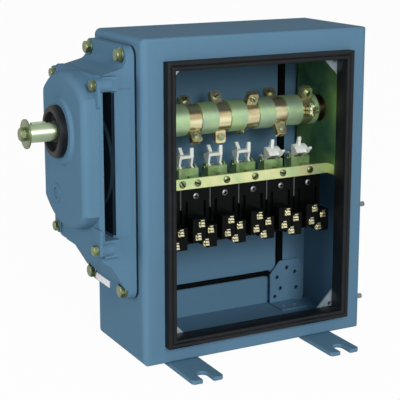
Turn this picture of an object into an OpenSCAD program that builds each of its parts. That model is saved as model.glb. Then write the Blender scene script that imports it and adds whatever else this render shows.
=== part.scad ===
// Cam switch with a gear reducer on its left side.
// A shaft turned from outside drives, through two gear pairs, a camshaft inside
// a sheet steel case. Clamped dogs on the camshaft throw six trip levers, and
// each lever moves the contact slide of the contact block below it.
//
// Millimetres, +Z up. The case faces -Y and the input shaft points to -X.
// The origin is at the centre of the footprint, level with the foot undersides.
// Inside each module, x runs right from the left wall, y runs back from the
// front face and z runs up from the case bottom; in_frame() moves that to the origin.

/* [Case] */
// Case width, left to right
case_w = 284; // [220:1:400]
// Case depth, front to back
case_d = 124; // [110:1:180]
// Case height
case_h = 360; // [300:1:480]
// Sheet thickness
wall = 3; // [2:0.5:5]
// Radius of the bent front edges
bend_r = 8; // [3:1:12]

/* [Front opening and seal] */
// Left outer edge of the seal
seal_x = 25; // [15:1:40]
// Lower outer edge of the seal
seal_z = 20; // [15:1:40]
// Outer width of the seal
seal_w = 234; // [180:1:340]
// Outer height of the seal
seal_h = 315; // [250:1:420]
// Width of the seal section
seal_band = 9.6; // [7:0.2:14]
// How far the seal stands out from the case front
seal_proud = 12; // [6:0.5:16]
// Depth of the seal lip behind the case front
lip_depth = 10; // [4:1:16]
// Leg length of the corner plates behind the opening
corner_leg = 56; // [40:1:80]

/* [Feet] */
// Width of a foot bar
foot_w = 38; // [25:1:60]
// Thickness of a foot bar
foot_t = 5; // [3:1:8]
// How far a foot bar reaches past the case, front and back
foot_reach = 57; // [30:1:90]
// Width of the open fixing slots
slot_w = 13; // [7:1:18]
// Depth of the fixing slots
slot_len = 22; // [12:1:35]
// Centre of the left foot bar from the left wall
foot_x1 = 49; // [30:1:120]
// Centre of the right foot bar from the left wall
foot_x2 = 225; // [160:1:360]

/* [Gear unit] */
// Height of the input shaft and camshaft axis above the case bottom
axis_z = 258.5; // [220:0.5:300]
// Distance of that axis behind the case front
axis_y = 65; // [50:1:90]
// Thickness of the mounting flange on the case
flange_t = 10.5; // [8:0.5:14]
// Width of the mounting flange, front to back
flange_d = 108; // [90:1:140]
// Height of the mounting flange
flange_h = 277; // [240:1:320]
// Height of the mounting flange's lower edge
flange_z = 74; // [50:1:110]
// Width of the gear cover, front to back
cover_d = 120; // [100:1:140]
// Height of the gear cover's base
cover_h = 196; // [170:1:240]
// Height of the gear cover's lower edge
cover_z = 128; // [100:1:160]
// How far the gear cover's dome stands out from its base
dome_t = 17; // [15:1:30]
// Gear tooth module
tooth_mod = 1.5; // [1:0.25:2.5]
// Teeth on each pinion
pinion_teeth = 18; // [17:1:24]
// Teeth on each wheel
wheel_teeth = 54; // [40:1:64]
// Face width of the gears
gear_w = 6.5; // [5:0.5:6.5]
// Tooth play on the pitch circle
backlash = 0.25; // [0.1:0.05:0.5]

/* [Input shaft] */
// Input shaft diameter
shaft_d = 20; // [12:1:28]
// Distance of the shaft's end face from the left wall
shaft_end = 104; // [90:1:130]
// Key width
key_w = 6; // [4:1:8]
// Key length
key_len = 16; // [10:1:20]
// Diameter of the washer on the shaft end
end_washer_d = 32; // [26:1:44]

/* [Camshaft] */
// Camshaft diameter
cam_d = 20; // [14:1:24]
// Distance from one cam station to the next
pitch = 37.2; // [34:0.1:44]
// Middle of the first dog clamp from the left wall
clamp_x = 51.7; // [48:0.1:70]
// Width of a dog clamp
clamp_w = 16.4; // [12:0.2:20]
// Diameter of a dog clamp's band
clamp_d = 33.6; // [28:0.2:40]
// Diameter of the sleeves between the clamps
sleeve_d = 36.5; // [30:0.5:44]
// Radius of the circle swept by the dogs
dog_r = 30.3; // [26:0.1:34]
// Angle of each clamp's first dog, from straight up towards the front
dog_a = [200, 144, 177, 27, 148, 85]; // [0:1:359]
// Angle of each clamp's second dog
dog_b = [20, 320, 334, 217, 327, 20]; // [0:1:359]

/* [Contacts] */
// Middle of a contact station, measured from the middle of its dog clamp
contact_dx = -4.8; // [-8:0.1:8]
// Distance of the rail behind the case front
rail_y = 40; // [30:1:60]
// Height of the rail's lower edge
rail_z = 184; // [170:1:200]
// Height of the rail's front strip
rail_h = 12; // [8:1:20]
// Thickness of the rail
rail_t = 2.5; // [1.5:0.5:4]
// Height of the trip lever pivots
pivot_z = 201; // [196:1:210]
// Reach of a trip lever's long prong
prong_r = 26.5; // [20:0.1:30]
// Reach of a trip lever's short prong
horn_r = 25.2; // [18:0.1:30]
// Travel of a trip lever between its two positions
lever_travel = 46; // [30:1:60]
// Position of each trip lever: 1 tilted back, -1 tilted forward
lever_side = [1, 1, 1, 1, -1, -1]; // [-1:2:1]
// Distance from the lever pivot to its crank pin
crank_r = 8; // [6:0.5:10]
// Width of a contact block
block_w = 34.6; // [28:0.2:36]
// Depth of a contact block's upper part
block_d = 42; // [36:1:52]
// Height of a contact block
block_h = 64; // [50:1:80]

/* [End plates] */
// Inner face of the left end plate from the left wall
plate_x1 = 18; // [14:1:30]
// Inner face of the right end plate from the left wall
plate_x2 = 262; // [250:1:270]
// Front edge of the end plates behind the case front
plate_y = 25; // [20:1:40]
// Depth of the end plates
plate_d = 88; // [70:1:96]
// Lower edge of the end plates
plate_z = 185; // [150:1:190]
// Height of the end plates
plate_h = 160; // [130:1:165]

/* [Hidden] */
$fn = 64;
eps = 0.01;
// Clearance of a running fit, on the radius
run_fit = 0.06;
stations = 6;

// Places along x, all measured from the outer face of the left wall
gasket_t = 1.5;
flange_x = -gasket_t - flange_t;
body_x = -29;
base_x = -42;
base_t = 6;
cover_x = base_x - base_t;
dome_x = cover_x - dome_t;
boss_x = dome_x - 3.5;
seal_face_x = dome_x - 12;
// Seats of the cover bolts' washers
seat_x = cover_x - 2;
washer_x = -shaft_end - 2;
screw_x = washer_x - 6;
stud_x = case_w + 14.6;

// Gear pair: wheel and pinion centres lie one above the other
gear_a = tooth_mod * (pinion_teeth + wheel_teeth) / 2;
lay_z = axis_z - gear_a;
plate_t = 3.5;
// Middle planes of the outer and the inner gear pair
mesh_x1 = dome_x + 8;
mesh_x2 = dome_x + 15.5;

// Case mid-plane and the middle of the whole outline
mid_x = (screw_x + stud_x) / 2;
mid_y = case_d / 2;
// Corners of the bolt pattern of the flange and of the cover
flange_y = (case_d - flange_d) / 2 + 5;
flange_mid = [flange_y + flange_d / 2, flange_z + flange_h / 2];
flange_bolt = [42.5, 129];
cover_mid = [axis_y, cover_z + cover_h / 2];
cover_bolt = [57, 87.5];
cover_y = axis_y - cover_d / 2;

rail_back = rail_y + block_d;
lever_y = axis_y + 1;
case_blue = [0.36, 0.50, 0.63];
cast_blue = [0.35, 0.49, 0.61];
zinc_yellow = [0.80, 0.80, 0.55];
zinc_green = [0.60, 0.68, 0.50];
black = [0.07, 0.07, 0.08];

function clamp_at(k) = clamp_x + k * pitch;
function contact_at(k) = clamp_at(k) + contact_dx;
// Tilt of lever k at rest, rearward positive
function lever_tilt(k) = lever_side[k] * lever_travel / 2;
// Point at radius r and angle a (from up towards the front) about the camshaft
function cam_pt(r, a) = [-r * sin(a), r * cos(a)];

module in_frame() {
    translate([-mid_x, -mid_y, foot_t]) children();
}

// Solids along x: a flat profile drawn in (y, z), and a round bar
module plate_x(x, t) {
    translate([x, 0, 0]) rotate([90, 0, 90]) linear_extrude(t) children();
}

module bar_x(x0, x1, r, y, z) {
    translate([x0, y, z]) rotate([0, 90, 0]) cylinder(r = r, h = x1 - x0);
}

module bar_y(y0, y1, r, x, z) {
    translate([x, y0, z]) rotate([-90, 0, 0]) cylinder(r = r, h = y1 - y0);
}

// Block between two corners
module block(a, b) {
    translate(a) cube(b - a);
}

// Rectangle with rounded corners, lower left corner at the origin
module round_rect(size, r) {
    translate([r, 0]) square([size[0] - 2 * r, size[1]]);
    translate([0, r]) square([size[0], size[1] - 2 * r]);
    for (x = [r, size[0] - r], y = [r, size[1] - r]) {
        translate([x, y]) circle(r);
    }
}

// Four places at the corners of a rectangle about a middle, in (y, z)
module at_corners(mid, half) {
    for (y = [-1, 1], z = [-1, 1]) {
        translate([0, mid[0] + y * half[0], mid[1] + z * half[1]]) children();
    }
}

// Hexagon head or nut with its axis along x
module hex_x(x0, x1, across) {
    translate([x0, 0, 0]) rotate([0, 90, 0]) cylinder(d = across / cos(30), h = x1 - x0, $fn = 6);
}

// Case

// Outline of the case shrunk by an inset on all sides
module case_solid(inset) {
    r = bend_r - inset;
    w = case_w - 2 * inset;
    d = case_d - 2 * inset;
    h = case_h - 2 * inset;
    intersection() {
        translate([inset, inset, inset]) linear_extrude(h) {
            round_rect([w, d], r);
            translate([0, d / 2]) square([w, d / 2]);
        }
        translate([inset, inset, inset]) rotate([90, 0, 90]) linear_extrude(w) {
            round_rect([d, h], r / 2);
            translate([d / 2, 0]) square([d / 2, h]);
        }
    }
}

// Rectangle concentric with the seal, drawn in (x, z) and set back by an inset
module opening(inset, r) {
    translate([seal_x + inset, seal_z + inset]) {
        round_rect([seal_w - 2 * inset, seal_h - 2 * inset], r);
    }
}

// Flat frame between two insets from the seal's outer edge, from y0 back to y1
module opening_frame(y0, y1, outer, inner, r) {
    translate([0, y1, 0]) rotate([90, 0, 0]) linear_extrude(y1 - y0) difference() {
        opening(outer, r);
        opening(inner, max(r - (inner - outer), 0.8));
    }
}

collar_in = seal_band / 2 + 1.6;
collar_out = seal_band / 2 - 1.6;
stud_z = [31, 146];

module enclosure() {
    color(case_blue) in_frame() difference() {
        union() {
            difference() {
                case_solid(0);
                case_solid(wall);
            }
            opening_frame(-8, wall, collar_out, collar_in, 5);
        }
        translate([0, wall + 1, 0]) rotate([90, 0, 0]) linear_extrude(wall + 2) opening(collar_in, 1.8);
        bar_x(-1, wall + 1, 30, axis_y, axis_z);
        at_corners(flange_mid, flange_bolt) bar_x(-1, wall + 1, 4.5, 0, 0);
        for (z = stud_z) {
            bar_x(case_w - wall - 1, case_w + 1, 3.5, 20, z);
        }
    }
}

module front_seal() {
    color(black) in_frame() difference() {
        union() {
            opening_frame(-seal_proud, 0, 0, seal_band, 6);
            opening_frame(-1, lip_depth, seal_band - 2.8, seal_band, 2);
        }
        // The section grips the collar of the opening
        opening_frame(-8.4, 0.02, collar_out - 0.1, collar_in + 0.1, 5);
        // Groove between the two beads of the sealing face
        opening_frame(-seal_proud - 1, -seal_proud + 1.6, seal_band / 2 - 1.2, seal_band / 2 + 1.2, 4);
    }
}

// Triangular plate in one corner of the opening, on a stand-off
module corner_bracket() {
    t = 2.5;
    translate([0, lip_depth + 0.5 + t, 0]) rotate([90, 0, 0]) linear_extrude(t) difference() {
        polygon([[0, 0], [corner_leg, 0], [corner_leg, 5], [5, corner_leg], [0, corner_leg]]);
        translate([corner_leg / 2 - 4, corner_leg / 2 - 4]) circle(2.5);
    }
    bar_y(wall, lip_depth + 0.6, 4, 6, 6);
}

module corner_brackets() {
    x0 = seal_x - 12;
    z0 = seal_z - 12;
    color(case_blue) in_frame() for (sx = [0, 1], sz = [0, 1]) {
        translate([sx == 0 ? x0 : 2 * seal_x + seal_w - x0, 0, sz == 0 ? z0 : 2 * seal_z + seal_h - z0])
            mirror([sx, 0, 0]) mirror([0, 0, sz]) corner_bracket();
    }
}

// One foot bar with an open slot at each end
module foot_bar(x) {
    len = case_d + 2 * foot_reach;
    translate([x, -foot_reach, -foot_t]) linear_extrude(foot_t) difference() {
        translate([-foot_w / 2, 0]) square([foot_w, len]);
        for (end = [0, 1]) {
            translate([0, end * len]) mirror([0, end]) {
                translate([-slot_w / 2, -1]) square([slot_w, slot_len - slot_w / 2 + 1]);
                translate([0, slot_len - slot_w / 2]) circle(d = slot_w);
                for (s = [-1, 1]) {
                    translate([s * foot_w / 2, 0]) rotate(45) square(4, center = true);
                }
            }
        }
    }
}

module foot_bars() {
    color(case_blue) in_frame() {
        foot_bar(foot_x1);
        foot_bar(foot_x2);
    }
}

panel_x1 = plate_x1 - 1;
panel_x2 = 237;
panel_z1 = 46;

module mounting_panel() {
    color(case_blue) in_frame() {
        block([panel_x1, case_d - wall - 2.5, panel_z1], [panel_x2, case_d - wall, case_h - 12]);
    }
}

// Black edging: one upright strip beside the panel and one below it
module panel_edging() {
    t = 6;
    y1 = case_d - wall;
    color(black) in_frame() {
        translate([0, y1, 0]) rotate([90, 0, 0]) linear_extrude(t) {
            translate([panel_x2 + 4.5, panel_z1 + 5]) circle(4);
            translate([panel_x2 + 0.5, panel_z1 + 5]) square([8, case_h - 12 - panel_z1 - 5]);
            translate([panel_x2 - 12, panel_z1 - 3.5]) circle(3.5);
            translate([panel_x1, panel_z1 - 5.5]) square([panel_x2 - 12 - panel_x1, 4.5]);
        }
    }
}

// Perforated cable bracket on the case floor
module cable_bracket() {
    y1 = case_d - wall - 7;
    color(case_blue) in_frame() {
        difference() {
            translate([0, y1, 0]) rotate([90, 0, 0]) linear_extrude(2) {
                polygon([[226, wall], [274, wall], [274, 50], [266, 58], [240, 58], [226, 42]]);
            }
            for (p = [[233, 12], [241, 22], [262, 41], [250, 48], [264, 20], [236, 37]]) {
                bar_y(y1 - 4, y1 + 2, 2.6, p[0], p[1]);
            }
        }
        difference() {
            block([226, y1 - 32, wall], [262, y1 - 1, wall + 2]);
            translate([236, y1 - 20, 0]) cylinder(r = 2.6, h = 10);
            translate([252, y1 - 20, 0]) cylinder(r = 2.6, h = 10);
        }
    }
}

module side_studs() {
    color(zinc_yellow) in_frame() for (z = stud_z) translate([0, 20, z]) {
        hex_x(case_w - wall - 4, case_w - wall, 10);
        // Full shank through the wall and the nuts, then the free end
        bar_x(case_w - wall - 1, case_w + 5, 3.3, 0, 0);
        bar_x(case_w + 4, stud_x, 3, 0, 0);
        difference() {
            hex_x(case_w, case_w + 5, 10);
            bar_x(case_w - 1, case_w + 6, 3.4, 0, 0);
        }
    }
}

// Gear unit

// Outline of the mounting flange in (y, z)
module flange_outline(grow) {
    translate([flange_y - grow, flange_z - grow]) {
        round_rect([flange_d + 2 * grow, flange_h + 2 * grow], 12 + grow);
    }
}

module adapter_gasket() {
    color(black) in_frame() difference() {
        plate_x(-gasket_t, gasket_t) flange_outline(-0.5);
        bar_x(-2, 1, 30, axis_y, axis_z);
        at_corners(flange_mid, flange_bolt) bar_x(-2, 1, 4.6, 0, 0);
    }
}

// Heights of the lower and the upper web, and the castings' common top
web_h1 = 20;
web_h2 = 15;
web_top = cover_z + cover_h - 2;
// Rise of the adapter's top towards the flange, and the fillet it ends in
roof_a = 14;
roof_r = 10;

// Side view of the adapter casting in (x, z), without its flange
module adapter_profile() {
    x1 = flange_x + 1;
    touch_x = flange_x - roof_r * (1 - sin(roof_a));
    touch_z = web_top + (touch_x - base_x) * tan(roof_a);
    centre = [flange_x - roof_r, touch_z + roof_r * cos(roof_a)];
    difference() {
        polygon([
            [x1, flange_z + 11], [flange_x - 4, flange_z + 15], [body_x - 3, cover_z - 12],
            [base_x + 2, cover_z - 7], [base_x, cover_z - 4], [base_x, cover_z + web_h1],
            [body_x, cover_z + web_h1], [body_x, web_top - web_h2], [base_x, web_top - web_h2],
            [base_x, web_top], [touch_x, touch_z], centre, [x1, centre[1]]
        ]);
        translate(centre) circle(roof_r);
    }
}

module adapter_housing() {
    color(cast_blue) in_frame() difference() {
        union() {
            plate_x(flange_x, flange_t) flange_outline(0);
            translate([0, flange_y + flange_d, 0]) rotate([90, 0, 0]) linear_extrude(flange_d) adapter_profile();
            // Webs that carry the gear cover reach out to the cover's full width
            block([base_x, cover_y, cover_z + 1], [body_x + 4, cover_y + cover_d, cover_z + web_h1]);
            block([base_x, cover_y, web_top - web_h2], [body_x + 4, cover_y + cover_d, web_top]);
            at_corners(cover_mid, cover_bolt) bar_x(base_x, base_x + 9, 7.5, 0, 0);
            // Round boss behind the window and a raised pad on the front side
            bar_x(body_x - 3.5, body_x + 1, 56, axis_y, cover_mid[1]);
            block([body_x + 2, flange_y - 1.2, cover_z + web_h1], [flange_x + 4, flange_y + 2, web_top - web_h2]);
        }
        // Hollow behind the flange, with a boss left round the camshaft
        difference() {
            plate_x(body_x + 6, 40) translate([flange_y + 14, flange_z + 55]) {
                round_rect([flange_d - 28, flange_h - 92], 10);
            }
            bar_x(body_x, 0, 21, axis_y, axis_z);
        }
        bar_x(base_x - 10, 5, cam_d / 2 + 3, axis_y, axis_z);
        // Bolt holes, with pockets for the heads where the body covers them
        at_corners(flange_mid, flange_bolt) {
            bar_x(base_x - 1, flange_x, 9, 0, 0);
            bar_x(flange_x - 1, 5, 4.5, 0, 0);
        }
        at_corners(cover_mid, cover_bolt) bar_x(base_x - 1, base_x + 8.5, 3.05, 0, 0);
    }
}

// Bolt heads sit on washers; nuts are inside the case
module flange_bolts() {
    color(zinc_yellow) in_frame() at_corners(flange_mid, flange_bolt) {
        difference() {
            bar_x(flange_x - 1.6, flange_x, 8, 0, 0);
            bar_x(flange_x - 3, flange_x + 1, 4.4, 0, 0);
        }
        hex_x(flange_x - 6.9, flange_x - 1.6, 13);
        bar_x(flange_x - 3, wall + 8, 4, 0, 0);
        difference() {
            hex_x(wall, wall + 6.5, 13);
            bar_x(wall - 1, wall + 9, 4.05, 0, 0);
        }
    }
}

// Outline of the dome in (y, z), crowned at the top and shrunk by an inset
module dome_outline(inset) {
    low_z = cover_z + 14;
    top_z = cover_z + cover_h - 1;
    corner_r = 32;
    crown_r = 86;
    intersection() {
        translate([cover_y + inset, low_z + inset]) {
            round_rect([cover_d - 2 * inset, top_z - low_z - 2 * inset], corner_r - inset);
        }
        translate([axis_y, top_z - crown_r]) circle(crown_r - inset);
    }
}

// Dome with its outer edge rounded off, as a loft through shrinking outlines
module dome() {
    edge_r = 8;
    hull() {
        for (a = [0 : 15 : 90]) {
            x = dome_x + edge_r * (1 - cos(a));
            plate_x(x, 0.01) dome_outline(edge_r * (1 - sin(a)), $fn = 48);
        }
        plate_x(cover_x + 1, 0.01) dome_outline(-0.5, $fn = 48);
    }
}

module gear_cover() {
    color(cast_blue) in_frame() difference() {
        union() {
            plate_x(cover_x, base_t) translate([cover_y, cover_z]) round_rect([cover_d, cover_h], 10);
            // Ears and pads that the cover bolts seat on
            at_corners(cover_mid, cover_bolt) bar_x(seat_x, base_x, 8, 0, 0);
            at_corners(cover_mid, [cover_bolt[0], cover_bolt[1] - 8]) {
                plate_x(seat_x, 3) translate([-9, -15]) round_rect([18, 30], 4);
            }
            dome();
            // Bearing boss that carries the shaft seal, and the pad of the oil plug
            translate([dome_x + 1, axis_y, axis_z]) rotate([0, -90, 0]) {
                cylinder(r1 = 38.5, r2 = 35, h = dome_x + 1 - boss_x);
            }
            bar_x(dome_x - 1.2, dome_x + 1, 11, axis_y + 18, lay_z - 18);
        }
        plate_x(dome_x + 4, dome_t + base_t) dome_outline(4.5);
        plate_x(base_x - plate_t, 10) dome_outline(3);
        bar_x(boss_x - 1, dome_x + 5, 14, axis_y, axis_z);
        // Blind seat for the layshaft and the socket of the oil plug
        bar_x(dome_x + 1, dome_x + 5, 5 + run_fit, axis_y, lay_z);
        bar_x(dome_x - 2, dome_x + 0.2, 6.5, axis_y + 18, lay_z - 18);
        at_corners(cover_mid, cover_bolt) {
            bar_x(dome_x - 1, seat_x, 8, 0, 0);
            bar_x(seat_x - 1, base_x + 1, 3.4, 0, 0);
        }
    }
}

module gear_plate() {
    color(zinc_green) in_frame() difference() {
        plate_x(base_x - plate_t, plate_t) dome_outline(3.2);
        bar_x(base_x - 8, base_x + 1, cam_d / 2 + run_fit, axis_y, axis_z);
        bar_x(base_x - 8, base_x + 1, 5 + run_fit, axis_y, lay_z);
    }
}

module cover_bolts() {
    color(zinc_yellow) in_frame() at_corners(cover_mid, cover_bolt) {
        difference() {
            bar_x(seat_x - 1.2, seat_x, 6.2, 0, 0);
            bar_x(seat_x - 2, seat_x + 1, 3.3, 0, 0);
        }
        hex_x(seat_x - 5.2, seat_x - 1.2, 10);
        bar_x(seat_x - 2, base_x + 8, 3, 0, 0);
    }
}

// Cup-shaped rubber seal: a thick rim, a floor and a lip round the shaft
module shaft_seal() {
    outer = 28.5;
    bore = shaft_d / 2 + 0.3;
    depth = boss_x - seal_face_x;
    color(black) in_frame() translate([seal_face_x, axis_y, axis_z]) rotate([0, 90, 0]) {
        rotate_extrude() {
            difference() {
                union() {
                    translate([bore, 0]) square([outer - 3 - bore, depth]);
                    translate([bore, 3]) square([outer - bore, depth - 3]);
                    translate([outer - 3, 3]) circle(3);
                }
                polygon([[0, -1], [22, -1], [19.5, depth - 2], [14, depth - 2], [11.5, depth - 5], [0, depth - 5]]);
            }
        }
    }
}

module input_bearing() {
    color([0.72, 0.55, 0.25]) in_frame() difference() {
        bar_x(boss_x + 0.2, dome_x + 4, 14, axis_y, axis_z);
        bar_x(boss_x - 1, dome_x + 6, shaft_d / 2 + run_fit, axis_y, axis_z);
    }
}

// Involute of an angle, in degrees
function inv(a) = tan(a) * 180 / PI - a;
// Half the angle covered by a tooth at radius r, pressure angle 20 degrees
function half_tooth(n, r) =
    let (rp = tooth_mod * n / 2, rb = rp * cos(20), a = r > rb ? acos(rb / r) : 0)
    90 / n - backlash / (4 * rp) * 180 / PI + inv(20) - inv(a);

// Spur gear about the origin in the flat, with a tooth on +z turned by phase
module gear_outline(n, phase) {
    rp = tooth_mod * n / 2;
    ra = rp + tooth_mod;
    rf = rp - 1.25 * tooth_mod;
    levels = [for (i = [0 : 4]) max(rp * cos(20), rf) + (ra - max(rp * cos(20), rf)) * i / 4];
    polygon([
        for (i = [0 : n - 1])
            let (mid = 360 * i / n + phase)
            each concat(
                [let (a = mid - half_tooth(n, levels[0])) [-rf * sin(a), rf * cos(a)]],
                [for (r = levels) let (a = mid - half_tooth(n, r)) [-r * sin(a), r * cos(a)]],
                [for (j = [4 : -1 : 0]) let (r = levels[j], a = mid + half_tooth(n, r)) [-r * sin(a), r * cos(a)]],
                [let (a = mid + half_tooth(n, levels[0])) [-rf * sin(a), rf * cos(a)]]
            )
    ]);
}

// Gear centred on the plane x, about an axis at height z
module gear(n, x, z, phase) {
    plate_x(x - gear_w / 2, gear_w) translate([axis_y, z]) gear_outline(n, phase);
}

module input_shaft() {
    color(zinc_yellow) in_frame() difference() {
        union() {
            bar_x(-shaft_end, mesh_x1 - gear_w / 2 + 1, shaft_d / 2, axis_y, axis_z);
            gear(pinion_teeth, mesh_x1, axis_z, 180);
            // Pilot that runs in the end of the camshaft
            bar_x(mesh_x1, mesh_x2 + 1, 5, axis_y, axis_z);
        }
        block([-shaft_end + 5, axis_y - key_w / 2, axis_z + shaft_d / 2 - 3.5],
              [-shaft_end + 5 + key_len, axis_y + key_w / 2, axis_z + shaft_d]);
        bar_x(-shaft_end - 1, -shaft_end + 16, 4.05, axis_y, axis_z);
    }
}

module shaft_key() {
    x0 = -shaft_end + 5;
    z0 = axis_z + shaft_d / 2 - 3.5;
    color(zinc_green) in_frame() {
        block([x0, axis_y - key_w / 2, z0], [x0 + key_len, axis_y + key_w / 2, z0 + 5.2]);
    }
}

module end_washer() {
    color(zinc_yellow) in_frame() difference() {
        bar_x(washer_x, -shaft_end, end_washer_d / 2, axis_y, axis_z);
        bar_x(washer_x - 1, -shaft_end + 1, 4.3, axis_y, axis_z);
    }
}

module end_screw() {
    color(zinc_yellow) in_frame() {
        translate([0, axis_y, axis_z]) hex_x(screw_x, washer_x, 13);
        bar_x(washer_x - 1, -shaft_end + 14, 4, axis_y, axis_z);
    }
}

module layshaft() {
    color(zinc_green) in_frame() {
        bar_x(dome_x + 1.3, base_x - 0.5, 5, axis_y, lay_z);
        bar_x(mesh_x1 + gear_w / 2, mesh_x2, 8, axis_y, lay_z);
        gear(pinion_teeth, mesh_x2, lay_z, 0);
    }
}

module layshaft_gear() {
    color([0.55, 0.56, 0.58]) in_frame() difference() {
        gear(wheel_teeth, mesh_x1, lay_z, 180 / wheel_teeth);
        bar_x(mesh_x1 - 10, mesh_x1 + 10, 5.01, axis_y, lay_z);
        for (a = [0 : 60 : 300]) {
            bar_x(mesh_x1 - 10, mesh_x1 + 10, 8, axis_y + 25 * sin(a), lay_z + 25 * cos(a));
        }
    }
}

module output_gear() {
    color([0.55, 0.56, 0.58]) in_frame() difference() {
        gear(wheel_teeth, mesh_x2, axis_z, 180 / wheel_teeth);
        bar_x(mesh_x2 - 10, mesh_x2 + 10, cam_d / 2 + 0.01, axis_y, axis_z);
        for (a = [0 : 60 : 300]) {
            bar_x(mesh_x2 - 10, mesh_x2 + 10, 8, axis_y + 25 * sin(a), axis_z + 25 * cos(a));
        }
    }
}

// Camshaft

drum_x1 = clamp_at(0) - pitch + clamp_w / 2;
drum_x2 = clamp_at(stations - 1) + clamp_w / 2;
journal_d = 16;

module camshaft() {
    color([0.66, 0.68, 0.62]) in_frame() difference() {
        union() {
            bar_x(mesh_x2 - gear_w / 2, drum_x2 + 6, cam_d / 2, axis_y, axis_z);
            bar_x(drum_x2 + 5, plate_x2 + 10, journal_d / 2, axis_y, axis_z);
        }
        bar_x(mesh_x2 - 10, mesh_x2 + 2, 5 + run_fit, axis_y, axis_z);
    }
}

// Plain sleeves between the clamps and a narrow one at the end
module cam_sleeves() {
    len = pitch - clamp_w;
    color(zinc_green) in_frame() difference() {
        union() {
            for (k = [0 : stations - 1]) {
                x1 = clamp_at(k) - clamp_w / 2;
                bar_x(x1 - len, x1, sleeve_d / 2, axis_y, axis_z);
            }
            bar_x(drum_x2, drum_x2 + 5.2, sleeve_d / 2, axis_y, axis_z);
        }
        bar_x(0, case_w, cam_d / 2 + 0.01, axis_y, axis_z);
    }
}

// Dog: a pair of ears pinched by a screw, standing out from the band
ear_w = 13;
ear_t = 3.4;
ear_gap = 1.2;

module ears() {
    corner = sqrt(pow(dog_r, 2) - pow(ear_t + ear_gap / 2, 2));
    for (s = [-1, 1]) {
        mirror([0, s > 0 ? 1 : 0, 0]) difference() {
            union() {
                translate([-ear_w / 2, ear_gap / 2, clamp_d / 2 - 3]) cube([ear_w, ear_t, corner - clamp_d / 2]);
                translate([-ear_w / 2 + 3, ear_gap / 2, corner - 4]) cube([ear_w - 6, ear_t, 4]);
                for (x = [-1, 1]) {
                    translate([x * (ear_w / 2 - 3), ear_gap / 2, corner - 3.05]) rotate([-90, 0, 0]) {
                        cylinder(r = 3, h = ear_t);
                    }
                }
            }
            translate([0, 0, ear_screw_r]) rotate([-90, 0, 0]) cylinder(r = 2.2, h = 20, center = true);
        }
    }
}

ear_screw_r = 23.2;

// Two-piece strap clamp with a dog at each joint
module cam_clamp(k) {
    color(zinc_yellow) in_frame() translate([clamp_at(k), axis_y, axis_z]) difference() {
        union() {
            translate([-clamp_w / 2 + 0.1, 0, 0]) rotate([0, 90, 0]) cylinder(d = clamp_d, h = clamp_w - 0.2);
            rotate([dog_a[k], 0, 0]) ears();
            rotate([dog_b[k], 0, 0]) ears();
        }
        translate([-20, 0, 0]) rotate([0, 90, 0]) cylinder(r = cam_d / 2 + 0.01, h = 40);
        for (a = [dog_a[k], dog_b[k]]) {
            rotate([a, 0, 0]) translate([-20, -ear_gap / 2, 0]) cube([40, ear_gap, 40]);
        }
    }
}

module cam_clamp_1() { cam_clamp(0); }
module cam_clamp_2() { cam_clamp(1); }
module cam_clamp_3() { cam_clamp(2); }
module cam_clamp_4() { cam_clamp(3); }
module cam_clamp_5() { cam_clamp(4); }
module cam_clamp_6() { cam_clamp(5); }

// Pinch screw with its nut, through a pair of ears
module pinch_screw() {
    out = ear_gap / 2 + ear_t;
    translate([0, 0, ear_screw_r]) {
        rotate([-90, 0, 0]) cylinder(r = 2, h = 2 * out + 3, center = true);
        translate([0, out, 0]) rotate([-90, 0, 0]) cylinder(d = 7, h = 3);
        translate([0, -out - 3, 0]) rotate([-90, 0, 0]) cylinder(d = 8, h = 3, $fn = 6);
    }
}

module clamp_screws() {
    color(zinc_green) in_frame() for (k = [0 : stations - 1], a = [dog_a[k], dog_b[k]]) {
        translate([clamp_at(k), axis_y, axis_z]) rotate([a, 0, 0]) pinch_screw();
    }
}

// Screws of the end plates: distance from the inner face and from the plate's ends
fix_x = 7.5;
fix_z = 26;

// End plate drawn in (y, z) with a rear flange and a seat for the camshaft bush
module end_plate(x, side) {
    t = 3;
    reach = 12;
    y1 = plate_y + plate_d;
    x0 = side < 0 ? x - t : x;
    flange_x0 = side < 0 ? x - reach : x;
    difference() {
        union() {
            plate_x(x0, t) translate([plate_y, plate_z]) {
                translate([8, 0]) square([plate_d - 8, plate_h]);
                translate([0, 8]) square([9, plate_h - 16]);
                for (z = [8, plate_h - 8]) {
                    translate([8, z]) circle(8);
                }
            }
            // Rear flange, short of the flange bolts' nuts
            block([flange_x0, y1 - t, plate_z + 6], [flange_x0 + reach, y1, plate_z + plate_h - 20]);
        }
        bar_x(x - 5, x + 5, 13, axis_y, axis_z);
        for (z = [plate_z + fix_z, plate_z + plate_h - fix_z]) {
            bar_y(y1 - 5, y1 + 1, 2.6, x + side * fix_x, z);
        }
    }
}

module end_plate_left() {
    color(zinc_green) in_frame() end_plate(plate_x1, -1);
}

module end_plate_right() {
    color(zinc_green) in_frame() end_plate(plate_x2, 1);
}

// Flanged bush pressed into an end plate from the inside
module bush(x, side, r) {
    flange_x0 = side < 0 ? x : x - 2;
    difference() {
        union() {
            bar_x(flange_x0, flange_x0 + 2, 16, axis_y, axis_z);
            bar_x(side < 0 ? x - 4.5 : x - 1, side < 0 ? x + 1 : x + 4.5, 13, axis_y, axis_z);
        }
        bar_x(x - 10, x + 10, r + run_fit, axis_y, axis_z);
    }
}

module camshaft_bushes() {
    color([0.72, 0.55, 0.25]) in_frame() {
        bush(plate_x1, -1, cam_d / 2);
        bush(plate_x2, 1, journal_d / 2);
    }
}

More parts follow.
